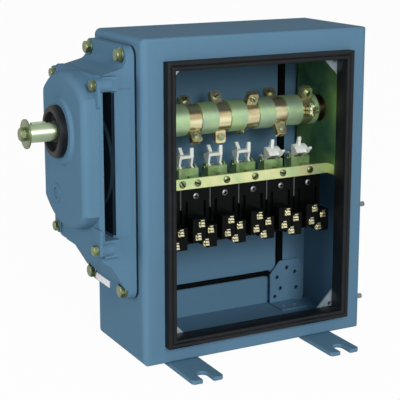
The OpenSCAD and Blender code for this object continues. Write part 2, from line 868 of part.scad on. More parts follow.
module frame_spacers() {
    y0 = plate_y + plate_d;
    color(zinc_yellow) in_frame() for (z = [plate_z + fix_z, plate_z + plate_h - fix_z]) {
        for (x = [plate_x1 - fix_x, plate_x2 + fix_x]) {
            bar_y(y0, case_d - wall, 5.5, x, z);
            bar_y(y0 - 6, y0 + 2, 2.5, x, z);
            translate([x, y0 - 3, z]) rotate([90, 0, 0]) cylinder(d = 8.4, h = 3.5, $fn = 6);
        }
    }
}

// Contacts

// Section of the rail: front strip, web and rear flange
module rail_section() {
    y1 = rail_back + rail_t;
    translate([rail_y, rail_z]) square([rail_t, rail_h]);
    translate([rail_y, rail_z]) square([y1 - rail_y, rail_t]);
    translate([rail_back, rail_z - 22]) square([rail_t, 22 + rail_t]);
}

module contact_rail() {
    color(zinc_yellow) in_frame() difference() {
        union() {
            plate_x(plate_x1, plate_x2 - plate_x1) rail_section();
            for (x = [plate_x1, plate_x2 - rail_t]) {
                block([x, rail_y - 14, rail_z], [x + rail_t, rail_y + 1, rail_z + rail_h]);
            }
        }
        for (k = [0 : stations - 1]) {
            // Passage for the contact slide, screw holes of bracket and block
            block([contact_at(k) - 4, lever_y + crank_r - 4, rail_z - 1],
                  [contact_at(k) + 4, lever_y + crank_r + 4, rail_z + 5]);
            bar_y(rail_back - 1, rail_back + 5, 2.6, contact_at(k), rail_z + block_screw_z);
            bar_y(rail_y - 1, rail_y + 4, 2.6, contact_at(k) + 2.3, rail_z + rail_h / 2);
        }
    }
}

// Pan head screw with its head in front of y0
module pan_screw(y0, len) {
    translate([0, y0, 0]) {
        rotate([90, 0, 0]) cylinder(d = 9, h = 2.4);
        bar_y(-1, len, 2.5, 0, 0);
    }
}

block_screw_z = -9;

// At each station one screw holds the lever bracket to the rail strip, one
// closes the block, and one holds the block to the rail's rear flange
module pan_screws() {
    color(zinc_green) in_frame() for (k = [0 : stations - 1]) {
        translate([contact_at(k) + 2.3, 0, rail_z + rail_h / 2]) pan_screw(rail_y, 16);
        translate([contact_at(k), 0, rail_z + block_screw_z]) {
            pan_screw(rail_y + 1, 18);
            translate([0, rail_back + rail_t, 0]) mirror([0, 1, 0]) pan_screw(0, rail_t + 3);
        }
    }
}

// Zinc bracket of one lever: front plate, two cheeks and a foot on the rail
module lever_bracket(k) {
    x0 = contact_at(k) - 13;
    x1 = contact_at(k) + 12;
    y0 = lever_y - 9;
    z0 = rail_z + rail_t;
    difference() {
        union() {
            block([x0, y0, z0], [x1, y0 + 2, pivot_z + 2.5]);
            for (x = [x0, x1 - 2]) {
                block([x, y0, z0], [x + 2, lever_y + 6, pivot_z + 1]);
                bar_x(x, x + 2, 5.5, lever_y, pivot_z);
            }
            // Strap to the screw in the rail strip
            block([contact_at(k) - 2.7, rail_y + rail_t, z0], [contact_at(k) + 7.3, y0 + 1, z0 + 9]);
        }
        bar_x(x0 - 1, x1 + 1, 2, lever_y, pivot_z);
        bar_y(rail_y, y0 - 0.5, 2.6, contact_at(k) + 2.3, rail_z + rail_h / 2);
    }
}

module lever_brackets() {
    color(zinc_green) in_frame() for (k = [0 : stations - 1]) {
        lever_bracket(k);
    }
}

module lever_pivots() {
    color(zinc_yellow) in_frame() for (k = [0 : stations - 1]) {
        bar_x(contact_at(k) - 14.5, contact_at(k) + 13.5, 2, lever_y, pivot_z);
    }
}

// Trip lever, drawn half-way between its two positions about the origin
lever_x1 = -9;
lever_x2 = 8.5;
// Angles of the long prong and the short one, rearward positive
prong_a = 8.5;
horn_a = -31.5;

module lever_arc(a0, a1, r0, r1) {
    steps = 8;
    outer = [for (i = [0 : steps]) let (a = a0 + (a1 - a0) * i / steps) [r1 * sin(a), r1 * cos(a)]];
    inner = [for (i = [steps : -1 : 0]) let (a = a0 + (a1 - a0) * i / steps) [r0 * sin(a), r0 * cos(a)]];
    polygon(concat(outer, inner));
}

module prong(a, reach) {
    rotate(-a) hull() {
        translate([0, 14.5]) circle(2.6, $fn = 24);
        translate([0, reach - 1.2]) circle(1.2, $fn = 24);
    }
}

module lever(k) {
    color([0.92, 0.94, 0.92]) in_frame() {
        translate([contact_at(k), lever_y, pivot_z]) rotate([-lever_tilt(k), 0, 0]) {
            for (x = [lever_x1, lever_x2 - 2.5]) {
                plate_x(x, 2.5) difference() {
                    union() {
                        circle(4.2);
                        translate([0, -3]) square([crank_r, 6]);
                        translate([crank_r, 0]) circle(3);
                        lever_arc(horn_a - 6, prong_a + 8, 3, 16.5);
                    }
                    circle(2 + run_fit);
                }
            }
            plate_x(lever_x1, lever_x2 - lever_x1) lever_arc(horn_a - 6, prong_a + 8, 13.2, 16.5);
            plate_x(-2.9, 4) prong(prong_a, prong_r);
            plate_x(3.9, 4) prong(horn_a, horn_r);
            bar_x(lever_x1 + 1, lever_x2 - 1, 1.5, crank_r, 0);
        }
    }
}

module lever_1() { lever(0); }
module lever_2() { lever(1); }
module lever_3() { lever(2); }
module lever_4() { lever(3); }
module lever_5() { lever(4); }
module lever_6() { lever(5); }

// Contact slide: a stem guided in the block, its head slotted for the crank pin
module contact_slide(k) {
    y = lever_y + crank_r * (1 + cos(lever_travel / 2)) / 2;
    z = pivot_z - crank_r * sin(lever_tilt(k));
    color([0.85, 0.82, 0.72]) in_frame() translate([contact_at(k), 0, 0]) difference() {
        union() {
            block([-4.5, y - 4, z - 3.6], [4.5, y + 4, z + 3.6]);
            block([-2.5, lever_y + crank_r - 2.5, z - 44], [2.5, lever_y + crank_r + 2.5, z]);
        }
        block([-6, y - 2.1, z - 1.62], [6, y + 2.1, z + 1.62]);
    }
}

module contact_slide_1() { contact_slide(0); }
module contact_slide_2() { contact_slide(1); }
module contact_slide_3() { contact_slide(2); }
module contact_slide_4() { contact_slide(3); }
module contact_slide_5() { contact_slide(4); }
module contact_slide_6() { contact_slide(5); }

// Terminal places on a block, from its middle and its top edge
terminals_at = [[-2.3, -36.5], [9, -44.4], [-6.5, -51.2], [3.3, -58.9]];
nose_y = 20;

module contact_block(k) {
    x = contact_at(k);
    z1 = rail_z;
    w = block_w / 2;
    color(black) in_frame() difference() {
        union() {
            block([x - w, rail_y + 1, z1 - 24], [x + w, rail_back, z1]);
            block([x - w, rail_y + 1, z1 - block_h], [x + w, rail_back - 8, z1 - 23]);
            // Two stepped noses carry the terminals
            block([x - w + 3, nose_y, z1 - block_h + 7], [x + 2.5, rail_y + 2, z1 - 30]);
            block([x + 3.5, nose_y, z1 - block_h], [x + w - 1, rail_y + 2, z1 - 38]);
        }
        for (p = terminals_at) {
            block([x + p[0] - 4.2, nose_y - 1, z1 + p[1] - 3.6], [x + p[0] + 4.2, nose_y + 5, z1 + p[1] + 3.6]);
        }
        // Upright grooves between the poles
        for (dx = [-11.5, 11.5]) {
            block([x + dx - 1.5, rail_y, z1 - 34], [x + dx + 1.5, rail_y + 5, z1 - 15]);
        }
        bar_y(rail_y, rail_y + 20, 2.6, x, z1 + block_screw_z);
        bar_y(rail_back - 3.5, rail_back + 1, 2.6, x, z1 + block_screw_z);
        // Guide of the contact slide
        block([x - 2.6, lever_y + crank_r - 2.6, z1 - 36], [x + 2.6, lever_y + crank_r + 2.6, z1 + 1]);
    }
}

module contact_block_1() { contact_block(0); }
module contact_block_2() { contact_block(1); }
module contact_block_3() { contact_block(2); }
module contact_block_4() { contact_block(3); }
module contact_block_5() { contact_block(4); }
module contact_block_6() { contact_block(5); }

// Brass clamp with its screw, one in each pocket of the blocks
module terminals() {
    color([0.85, 0.72, 0.35]) in_frame() for (k = [0 : stations - 1], p = terminals_at) {
        translate([contact_at(k) + p[0], nose_y, rail_z + p[1]]) {
            block([-4, 1.5, -3.4], [4, 5, 3.4]);
            difference() {
                bar_y(-0.8, 2, 2.9, 0, 0);
                block([-3, -1, -0.4], [3, 0, 0.4]);
            }
        }
    }
}

enclosure();
front_seal();
corner_brackets();
foot_bars();
mounting_panel();
panel_edging();
cable_bracket();
side_studs();
adapter_gasket();
adapter_housing();
flange_bolts();
gear_cover();
gear_plate();
cover_bolts();
shaft_seal();
input_bearing();
input_shaft();
shaft_key();
end_washer();
end_screw();
layshaft();
layshaft_gear();
output_gear();
camshaft();
cam_sleeves();
cam_clamp_1();
cam_clamp_2();
cam_clamp_3();
cam_clamp_4();
cam_clamp_5();
cam_clamp_6();
clamp_screws();
end_plate_left();
end_plate_right();
camshaft_bushes();
frame_spacers();
contact_rail();
pan_screws();
lever_brackets();
lever_pivots();
lever_1();
lever_2();
lever_3();
lever_4();
lever_5();
lever_6();
contact_slide_1();
contact_slide_2();
contact_slide_3();
contact_slide_4();
contact_slide_5();
contact_slide_6();
contact_block_1();
contact_block_2();
contact_block_3();
contact_block_4();
contact_block_5();
contact_block_6();
terminals();
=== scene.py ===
# Geared cam switch, dressed for rendering.
#
# The packed solids give every size and place. This file gives them their
# finishes and what solids leave plain: the case's rounded folds, rolled edges,
# the moulded seal, chamfered bolts, recessed screws, terminal clamps, the
# separators between the blocks and a bare plate.

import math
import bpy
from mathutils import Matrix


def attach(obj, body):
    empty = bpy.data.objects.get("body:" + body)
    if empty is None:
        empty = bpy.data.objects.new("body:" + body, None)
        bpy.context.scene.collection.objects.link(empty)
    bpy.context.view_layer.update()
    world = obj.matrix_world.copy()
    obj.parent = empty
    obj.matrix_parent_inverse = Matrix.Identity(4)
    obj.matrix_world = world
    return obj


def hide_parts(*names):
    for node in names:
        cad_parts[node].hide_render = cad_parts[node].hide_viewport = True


bl_info = {
    "name": "Geared Cam Switch",
    "version": (1, 0, 0),
    "blender": (4, 5, 0),
    "location": "View3D > Sidebar > Cam Switch",
    "description": "Finishes, fixings and studio for a geared cam switch",
    "category": "Object",
}

import bmesh
import bpy
from bpy.props import FloatProperty, FloatVectorProperty, IntProperty, PointerProperty
from mathutils import Matrix, Vector

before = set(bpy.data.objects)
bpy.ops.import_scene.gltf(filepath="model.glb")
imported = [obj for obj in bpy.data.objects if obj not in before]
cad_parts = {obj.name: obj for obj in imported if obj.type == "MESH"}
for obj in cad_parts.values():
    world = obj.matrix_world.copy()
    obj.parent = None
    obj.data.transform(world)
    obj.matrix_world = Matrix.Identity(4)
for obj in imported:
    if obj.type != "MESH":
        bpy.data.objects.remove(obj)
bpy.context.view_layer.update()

MM = 0.001
# The case's left, front, bottom corner in the row frame, in millimetres
CASE_CORNER = Vector((-93.3, -62.0, 5.0))
# Angles in degrees: faces that turn less are one flat face, edges that turn
# more are rolled, and edges that turn more keep a hard line in shading
FLAT_ANGLE = 0.4
ROLL_ANGLE = 35.0
SHARP_ANGLE = 34.0
# Corners closer than this are one, and heights closer than this are level, in metres
WELD = 2e-6
LEVEL = 1e-5


def at(x, y, z):
    """A point in metres, from millimetres measured off the case's left, front, bottom corner."""
    return (Vector((x, y, z)) + CASE_CORNER) * MM


def linear(colour):
    """Scene-linear RGBA of a display colour."""
    levels = [c / 12.92 if c <= 0.04045 else ((c + 0.055) / 1.055) ** 2.4 for c in colour[:3]]
    return levels + [1.0]


def shaded(colour, factor):
    """The same linear colour, lighter or darker."""
    return [min(1.0, c * factor) for c in colour[:3]] + [1.0]


# Sizes and colours a user would change


def colour_property(name, description, default):
    return FloatVectorProperty(
        name=name, description=description, default=default, size=3, min=0.0, max=1.0,
        subtype="COLOR_GAMMA",
    )


def length_property(name, description, default):
    return FloatProperty(
        name=name, description=description, default=default, min=0.0, precision=5, unit="LENGTH"
    )


def share_property(name, description, default):
    return FloatProperty(name=name, description=description, default=default, min=0.0, max=1.0)


def angle_property(name, description, degrees):
    return FloatProperty(
        name=name, description=description, default=math.radians(degrees), subtype="ANGLE"
    )


def power_property(name, description, default):
    return FloatProperty(name=name, description=description, default=default, unit="POWER")


class PaintSettings(bpy.types.PropertyGroup):
    """Paint of the case and of the castings."""

    case: colour_property("Case", "Paint of the sheet steel case", (0.372, 0.514, 0.612))
    casting: colour_property("Castings", "Paint of the gear unit's castings", (0.362, 0.505, 0.604))
    peel: length_property("Peel", "Spacing of the ripple in the case paint", 0.0016)
    skin: length_property("Cast skin", "Spacing of the relief under the castings' paint", 0.0034)
    gloss: share_property("Gloss", "Mirror level of the paint", 0.003)


class MetalSettings(bpy.types.PropertyGroup):
    """Bare and plated metals."""

    drum: colour_property("Drum", "Passivated zinc of the sleeves", (0.71, 0.83, 0.60))
    haze: colour_property("Haze", "Grey bloom on the sleeves", (0.61, 0.71, 0.63))
    clamp: colour_property("Clamps", "Bright passivated zinc of the dog clamps", (0.93, 0.92, 0.74))
    tint: colour_property("Tint", "Second tint in the clamps' passivation", (0.66, 0.56, 0.41))
    yellow: colour_property("Yellow zinc", "Passivated zinc of the rail", (0.93, 0.91, 0.68))
    bolt: colour_property("Bolts", "Passivated zinc of bolts and spacers", (0.38, 0.42, 0.30))
    green: colour_property("Green zinc", "Passivated zinc of the end plates", (0.22, 0.42, 0.32))
    leaf: colour_property("Leaf", "Brighter clouds in the plates' passivation", (0.58, 0.76, 0.44))
    pale: colour_property("Pale zinc", "Bright zinc of the corner plates", (0.78, 0.86, 0.90))
    steel: colour_property("Steel", "Ground shafts and screws", (0.62, 0.68, 0.57))
    gear: colour_property("Gear steel", "Gears, studs and block screws", (0.50, 0.51, 0.53))
    # The gear plate's near black stands in for the shade behind the adapter's windows: painted
    # shade
    dark: colour_property("Gear plate", "Oil-black plate behind the gears", (0.09, 0.10, 0.11))
    brass: colour_property("Brass", "Terminal clamps", (0.95, 0.93, 0.78))
    bronze: colour_property("Bronze", "Bushes", (0.38, 0.29, 0.19))


class PolymerSettings(bpy.types.PropertyGroup):
    """Rubber and moulded plastics."""

    seal: colour_property("Seal", "Rubber of the seals", (0.03, 0.044, 0.058))
    moulding: colour_property("Moulding", "Black plastic of the blocks", (0.032, 0.042, 0.038))
    lever: colour_property("Levers", "White nylon of the trip levers", (0.93, 0.95, 0.93))
    slide: colour_property("Slides", "Plastic of the contact slides", (0.86, 0.84, 0.75))
    wall: colour_property("Separators", "Grey plastic between the blocks", (0.40, 0.42, 0.42))
    plate: colour_property("Bare plate", "Blank plate on the mounting flange", (0.96, 0.96, 0.97))


class EdgeSettings(bpy.types.PropertyGroup):
    """Radii put on the solids' edges."""

    sheet: length_property("Sheet", "Edge radius of sheet steel", 0.0005)
    casting: length_property("Casting", "Edge radius of the castings", 0.0012)
    moulding: length_property("Moulding", "Edge radius of moulded plastic", 0.0004)
    lever: length_property("Levers", "Edge radius of the trip levers", 0.0005)
    slide: length_property("Slides", "Edge radius of the contact slides", 0.0003)
    metal: length_property("Metal", "Edge radius of turned and pressed metal", 0.0003)


class StudioSettings(bpy.types.PropertyGroup):
    """Camera, lamps and floor."""

    lens: FloatProperty(
        name="Lens", description="Focal length on a 36 mm frame, in millimetres", default=106.5
    )
    azimuth: angle_property("Azimuth", "Camera's turn about the vertical", -27.61)
    elevation: angle_property("Elevation", "Camera's downward tilt", 12.06)
    shift: FloatProperty(name="Shift", description="Vertical shift of the frame", default=-0.10)
    key: power_property("Key", "Power of the front lamp", 64.0)
    fill: power_property("Fill", "Power of the left lamp", 38.0)
    sky: share_property("Sky", "Strength of the light from all round", 0.2)
    floor: colour_property("Floor", "Colour of the floor", (0.94, 0.94, 0.94))
    clear: share_property("Clear", "How far the floor shows white, shadow and all", 0.97)
    seed: IntProperty(name="Seed", description="Seed of the bolts' random turn", default=7)


def paint():
    return bpy.context.scene.cam_switch_paint


def metal():
    return bpy.context.scene.cam_switch_metal


def polymer():
    return bpy.context.scene.cam_switch_polymer


def edges():
    return bpy.context.scene.cam_switch_edges


def studio():
    return bpy.context.scene.cam_switch_studio


# Node trees, written as expressions


class Value:
    """A node's output. Arithmetic on it adds Math nodes to its tree."""

    def __init__(self, tree, socket):
        self.tree = tree
        self.socket = socket

    def _math(self, operation, other):
        return self.tree.node("ShaderNodeMath", {"operation": operation}, {0: self, 1: other})

    def __add__(self, other):
        return self._math("ADD", other)

    def __mul__(self, other):
        return self._math("MULTIPLY", other)

    __radd__ = __add__
    __rmul__ = __mul__

    def clamped(self):
        return self.tree.node("ShaderNodeClamp", {}, {0: self})


class Tree:
    """A node tree under construction."""

    def __init__(self, tree):
        self.tree = tree
        self.tree.nodes.clear()

    def node(self, kind, settings=None, inputs=None, output=0):
        """Adds a node: its settings first, then values or links for its sockets."""
        made = self.tree.nodes.new(kind)
        for key, setting in (settings or {}).items():
            setattr(made, key, setting)
        for key, value in (inputs or {}).items():
            if isinstance(value, Value):
                self.tree.links.new(value.socket, made.inputs[key])
            else:
                made.inputs[key].default_value = value
        return Value(self, made.outputs[output]) if made.outputs else made


class Look(Tree):
    """A material under construction."""

    def __init__(self, name):
        self.material = bpy.data.materials.new(name)
        self.material.use_nodes = True
        super().__init__(self.material.node_tree)
        self.place = self.node("ShaderNodeTexCoord", output="Object")

    def noise(self, spacing, detail=2.0, stretch=None):
        """Noise whose features lie about spacing metres apart, longer where stretch is small."""
        place = self.place
        if stretch:
            place = self.node("ShaderNodeMapping", {}, {"Vector": place, "Scale": stretch})
        inputs = {"Vector": place, "Scale": 1.0 / spacing, "Detail": detail}
        return self.node("ShaderNodeTexNoise", {}, inputs)

    def blend(self, factor, first, second):
        """first where factor is 0, and second where it is 1."""
        inputs = {0: factor, 6: first, 7: second}
        return self.node("ShaderNodeMix", {"data_type": "RGBA"}, inputs, 2)

    def contrast(self, value, low, high):
        """value stretched so that low gives 0 and high gives 1."""
        return self.node("ShaderNodeMapRange", {}, {0: value, 1: low, 2: high})

    def within(self, low, high, blur=1e-4):
        """1 between two corners of the row frame, else 0, with a narrow blur inside its faces."""
        inside = 1.0
        for axis, a, b in zip("XYZ", low, high):
            value = self.node("ShaderNodeSeparateXYZ", {}, {0: self.place}, axis)
            inside = inside * self.contrast(value, a, a + blur) * self.contrast(value, b, b - blur)
        return inside

    def bump(self, height, depth):
        return self.node("ShaderNodeBump", {}, {"Height": height, "Distance": depth})

    def with_grime_and_shade(self, tone):
        """tone, near black on the marked floor of a recess: grime and painted shade, as in a
        screw's recess.
        """
        grime_and_shade = self.node("ShaderNodeAttribute", {"attribute_name": "grime_and_shade"}, output="Fac")
        return self.blend(grime_and_shade, tone, (0.006, 0.006, 0.005, 1.0))

    def surface(self, **sockets):
        """Ends the material in a Principled shader; names use _ for a blank."""
        inputs = {key.replace("_", " "): value for key, value in sockets.items()}
        shader = self.node("ShaderNodeBsdfPrincipled", {}, inputs)
        self.node("ShaderNodeOutputMaterial", {}, {"Surface": shader})
        return self.material


def enamel(name, colour, spacing, relief, shade_boxes=()):
    """Sprayed paint with a faint ripple, a slow drift and a little dust, near black inside given
    boxes as painted shade.
    """
    look = Look(name)
    drift = look.noise(0.11, 3.0)
    ripple = look.noise(spacing, 2.0)
    specks = look.contrast(look.noise(0.0021, 1.0), 0.66, 0.74)
    tone = look.blend(drift, shaded(colour, 0.93), shaded(colour, 1.07))
    tone = look.blend(specks * 0.10, tone, shaded(colour, 1.35))
    for low, high in shade_boxes:
        # Painted shade: near black inside each box
        tone = look.blend(look.within(low, high), tone, shaded(colour, 0.12))
    return look.surface(
        Base_Color=tone,
        Roughness=0.40 + 0.10 * drift + 0.06 * ripple,
        Specular_IOR_Level=paint().gloss,
        Normal=look.bump(ripple, relief),
    )


def passivated(
    name, colour, other, stretch=None, rough=0.3, metallic=0.88, spread=0.021, drawn=None, wear=1.0
):
    """Plated metal with clouds of a second tint and fine rub marks, deeper with more wear.

    stretch and drawn are the stretches of the marks and of the clouds.
    """
    look = Look(name)
    clouds = look.noise(spread, 4.0, drawn)
    rub = look.noise(0.0011, 2.0, stretch)
    tone = look.blend(look.contrast(clouds, 0.32, 0.68), colour, other)
    tone = look.blend(rub * (0.16 * wear), tone, shaded(colour, 0.62))
    return look.surface(
        Base_Color=look.with_grime_and_shade(tone),
        Metallic=metallic,
        Roughness=rough + (0.14 * wear) * rub + 0.06 * clouds,
        Normal=look.bump(rub, 0.00001 * wear),
    )


def steel(name, colour, rough):
    """Ground or cut steel with fine marks round its axis."""
    look = Look(name)
    marks = look.noise(0.0007, 2.0, (1, 0.15, 0.15))
    stain = look.noise(0.014, 3.0)
    return look.surface(
        Base_Color=look.with_grime_and_shade(look.blend(stain, shaded(colour, 0.86), shaded(colour, 1.05))),
        Metallic=1.0,
        Roughness=rough + 0.12 * marks + 0.08 * stain,
        Normal=look.bump(marks, 0.000001),
    )


def rubber(name, colour):
    """Moulded rubber, bloomed in patches."""
    look = Look(name)
    bloom = look.noise(0.016, 4.0)
    pores = look.noise(0.0009, 2.0)
    return look.surface(
        Base_Color=look.blend(look.contrast(bloom, 0.4, 0.75), colour, shaded(colour, 2.1)),
        Roughness=0.40 + 0.18 * bloom,
        Specular_IOR_Level=0.22,
        Normal=look.bump(pores, 0.00006),
    )


def moulded(name, colour, rough, light=1.5):
    """Moulded plastic with soft flow marks."""
    look = Look(name)
    flow = look.noise(0.012, 3.0, (1, 1, 0.4))
    grain = look.noise(0.0008, 2.0)
    return look.surface(
        Base_Color=look.blend(flow, colour, shaded(colour, light)),
        Roughness=rough + 0.12 * flow,
        Specular_IOR_Level=0.06,
        Normal=look.bump(grain, 0.00003),
    )


def nylon(name, colour):
    """Translucent white plastic, slightly uneven."""
    look = Look(name)
    cloud = look.noise(0.006, 3.0)
    return look.surface(
        Base_Color=look.blend(cloud, shaded(colour, 0.93), shaded(colour, 1.04)),
        Roughness=0.30 + 0.12 * cloud,
        Subsurface_Weight=0.15,
        Subsurface_Radius=(0.002, 0.002, 0.0015),
        Normal=look.bump(cloud, 0.00008),
    )


def hue(name, factor=1.0):
    """Linear colour of a metal in the settings, lighter or darker."""
    return shaded(linear(getattr(metal(), name)), factor)


# Painted shade, near black in the cast paint: the space behind the adapter's windows, and the seam
# of its flange
PAINTED_SHADE_BOXES = ((at(-41.8, 3, 151), at(-26, 127, 304)), (at(-2.5, -10, 0), at(0, 140, 400)))
# Marks across the X axis, finer ones on turned parts, marks along X and Z, and drawn clouds
ROUND = (1, 0.08, 0.08)
TURNED = (0.8, 0.004, 0.004)
ALONG = (0.08, 1, 1)
UPRIGHT = (1, 1, 0.1)
DRAWN = (0.1, 1, 1)
LOOKS = {
    "case_blue": lambda n: enamel(n, linear(paint().case), paint().peel, relief=0.00004),
    "cast_blue": lambda n: enamel(
        n, linear(paint().casting), paint().skin, relief=0.00022, shade_boxes=PAINTED_SHADE_BOXES
    ),
    "drum_zinc": lambda n: passivated(
        n, hue("drum"), hue("haze"), TURNED, rough=0.29, metallic=0.64, wear=1.6
    ),
    "clamp_zinc": lambda n: passivated(
        n, hue("clamp"), hue("tint"), ROUND, rough=0.20, spread=0.009, drawn=DRAWN, wear=0.2
    ),
    "yellow_zinc": lambda n: passivated(
        n, hue("bolt"), hue("bolt", 1.7), rough=0.24, metallic=0.85
    ),
    "rail_zinc": lambda n: passivated(
        n, hue("yellow"), hue("drum"), ALONG, rough=0.30, metallic=0.60
    ),
    "green_zinc": lambda n: passivated(
        n, hue("green"), hue("leaf"), UPRIGHT, rough=0.38, metallic=0.50, spread=0.05
    ),
    "leaf_zinc": lambda n: passivated(
        n, hue("drum", 0.75), hue("leaf", 0.45), rough=0.34, metallic=0.50, spread=0.012
    ),
    "pale_zinc": lambda n: passivated(
        n, hue("pale"), hue("pale", 0.6), rough=0.30, metallic=0.60
    ),
    "ground_steel": lambda n: steel(n, hue("steel"), rough=0.30),
    "gear_steel": lambda n: steel(n, hue("gear"), rough=0.30),
    "brass": lambda n: passivated(n, hue("brass"), hue("brass", 0.8), rough=0.18),
    "bronze": lambda n: passivated(n, hue("bronze"), hue("bronze", 0.8), ROUND, rough=0.26),
    "seal_rubber": lambda n: rubber(n, linear(polymer().seal)),
    "black_moulding": lambda n: moulded(n, linear(polymer().moulding), rough=0.24),
    # Black edging of the panel, which also stands in for the shadow gap along its right and bottom
    # edges: painted shadow
    "black_edging": lambda n: moulded(n, linear(polymer().moulding), rough=0.40),
    "white_nylon": lambda n: nylon(n, linear(polymer().lever)),
    "ivory_plastic": lambda n: moulded(n, linear(polymer().slide), rough=0.35, light=1.06),
    "wall_plastic": lambda n: moulded(n, linear(polymer().wall), rough=0.35, light=1.3),
    "bare_plate": lambda n: moulded(n, linear(polymer().plate), rough=0.38, light=1.05),
    # Near black, painted shade seen through the adapter's windows
    "dark_plate": lambda n: steel(n, hue("dark"), rough=0.45),
}


def look(name):
    """The named finish, built on its first use. The frame's own materials have other names."""
    title = name + "_finish"
    return bpy.data.materials.get(title) or LOOKS[name](title)


# Meshes


def add_piece(name, mesh, finish):
    """A new object at the origin with one finish."""
    piece = bpy.data.objects.new(name, mesh)
    bpy.context.scene.collection.objects.link(piece)
    piece.data.materials.clear()
    piece.data.materials.append(look(finish))
    return piece


def bake(piece):
    """Turns the piece's modifiers into plain mesh."""
    graph = bpy.context.evaluated_depsgraph_get()
    mesh = bpy.data.meshes.new_from_object(piece.evaluated_get(graph), depsgraph=graph)
    piece.modifiers.clear()
    piece.data = mesh


def shade(mesh, angle=SHARP_ANGLE):
    """Smooth shading with hard edges where faces meet at more than angle degrees."""
    mesh.shade_smooth()
    mesh.set_sharp_from_angle(angle=math.radians(angle))


def drop(piece):
    bpy.data.objects.remove(piece, do_unlink=True)


def clean_copy(node):
    """A CAD node's mesh, merged and with its flat faces whole."""
    work = bmesh.new()
    work.from_mesh(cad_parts[node].data)
    bmesh.ops.remove_doubles(work, verts=work.verts, dist=WELD)
    bmesh.ops.dissolve_limit(
        work, angle_limit=math.radians(FLAT_ANGLE), verts=work.verts, edges=work.edges
    )
    mesh = bpy.data.meshes.new(node + "_dressed")
    work.to_mesh(mesh)
    work.free()
    for extra in ("custom_normal", "sharp_face", "sharp_edge"):
        if extra in mesh.attributes:
            mesh.attributes.remove(mesh.attributes[extra])
    return mesh


def roll_edges(piece, radius, segments=2):
    """Rounds the edges where faces meet at more than the rolling angle."""
    bevel = piece.modifiers.new("edge", "BEVEL")
    bevel.width = radius
    bevel.segments = segments
    bevel.limit_method = "ANGLE"
    bevel.angle_limit = math.radians(ROLL_ANGLE)
    bake(piece)


def dress(node, finish, slot, body, radius, segments=2, angle=SHARP_ANGLE, mesh=None, flats=True):
    """Replaces a CAD node by a copy, or by the mesh given, with rolled edges.

    With flats, its flat faces shade flat up to the rolled edges.
    """
    piece = add_piece(node + "_dressed", mesh or clean_copy(node), finish)
    roll_edges(piece, radius, segments)
    shade(piece.data, angle)
    if flats:
        weighted = piece.modifiers.new("flats", "WEIGHTED_NORMAL")
        weighted.keep_sharp = True
        bake(piece)
    place(piece, body, slot, node)


def place(piece, body, slot, *nodes):
    """Fixes a finished piece to its body and hides the CAD nodes it stands for."""
    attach(piece, body)
    if nodes:
        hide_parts(*nodes)


def finish_node(node, finish):
    """Gives a CAD node that keeps its own shape a finish."""
    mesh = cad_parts[node].data
    mesh.materials.clear()
    mesh.materials.append(look(finish))


def circle(work, radius, height, steps):
    """A ring of corners about Z, or its one middle point where the radius is 0."""
    if radius == 0:
        return [work.verts.new((0, 0, height))]
    turns = [math.tau * i / steps for i in range(steps)]
    return [work.verts.new((radius * math.cos(t), radius * math.sin(t), height)) for t in turns]


def lathe(profile, steps=32):
    """A closed solid turned about Z from (radius, height) pairs, bottom to top."""
    work = bmesh.new()
    rings = [circle(work, radius, height, steps) for radius, height in profile]
    join_rings(work, rings)
    if len(rings[0]) > 1:
        work.faces.new(rings[0][::-1])
    if len(rings[-1]) > 1:
        work.faces.new(rings[-1])
    return work


def join_rings(work, rings, closed=False):
    """Faces between rings of equal length, or of one point."""
    pairs = list(zip(rings, rings[1:])) + ([(rings[-1], rings[0])] if closed else [])
    for low, high in pairs:
        count = max(len(low), len(high))
        for i in range(count):
            j = (i + 1) % count
            if len(low) == 1:
                work.faces.new((low[0], high[j], high[i]))
            elif len(high) == 1:
                work.faces.new((low[i], low[j], high[0]))
            else:
                work.faces.new((low[i], low[j], high[j], high[i]))


def to_mesh(work, name, angle=SHARP_ANGLE):
    """Ends a bmesh as a shaded mesh."""
    bmesh.ops.recalc_face_normals(work, faces=work.faces)
    mesh = bpy.data.meshes.new(name)
    work.to_mesh(mesh)
    work.free()
    shade(mesh, angle)
    return mesh


def box_work(low, high):
    """A block between two corners, as a bmesh."""
    work = bmesh.new()
    bmesh.ops.create_cube(work, size=1.0)
    low, high = Vector(low), Vector(high)
    for v in work.verts:
        v.co = Vector(((high - low)[i] * v.co[i] + (high + low)[i] / 2 for i in range(3)))
    return work


def combine(first, second, operation, name):
    """The boolean of two bmeshes, as a mesh. Its finish here is a stand-in."""
    pair = []
    for work in (first, second):
        pair.append(add_piece(name, to_mesh(work, name), "ground_steel"))
    cut = pair[0].modifiers.new("cut", "BOOLEAN")
    cut.operation = operation
    cut.solver = "EXACT"
    cut.object = pair[1]
    bake(pair[0])
    mesh = pair[0].data
    for piece in pair:
        drop(piece)
    shade(mesh)
    return mesh


def mark_grime_and_shade(mesh, height):
    """Marks the floor of a recess, at its height, so that the recess darkens downwards with grime
    and painted shade.
    """
    grime_and_shade = mesh.attributes.new("grime_and_shade", "FLOAT", "POINT")
    grime_and_shade.data.foreach_set("value", [float(abs(v.co.z - height) < LEVEL) for v in mesh.vertices])
    return mesh


def merged(meshes, name):
    """One mesh of several."""
    work = bmesh.new()
    for mesh in meshes:
        work.from_mesh(mesh)
    return to_mesh(work, name)


# Fixings, drawn once with their axis on +Z and the seating face at z = 0


def hex_prism(across, low, high):
    corner = across / math.sqrt(3)
    return lathe([(corner, low), (corner, high)], 6)


def chamfered_hexagon(name, across, low, high):
    """Hexagon with its upper corners turned off."""
    corner = across / math.sqrt(3)
    wide, flat = corner * 1.3, across * 0.46
    below, shoulder = low - 1e-4, high - 0.42 * corner
    cone = lathe([(wide, below), (wide, shoulder), (flat, high)], 40)
    return combine(hex_prism(across, low, high), cone, "INTERSECT", name)


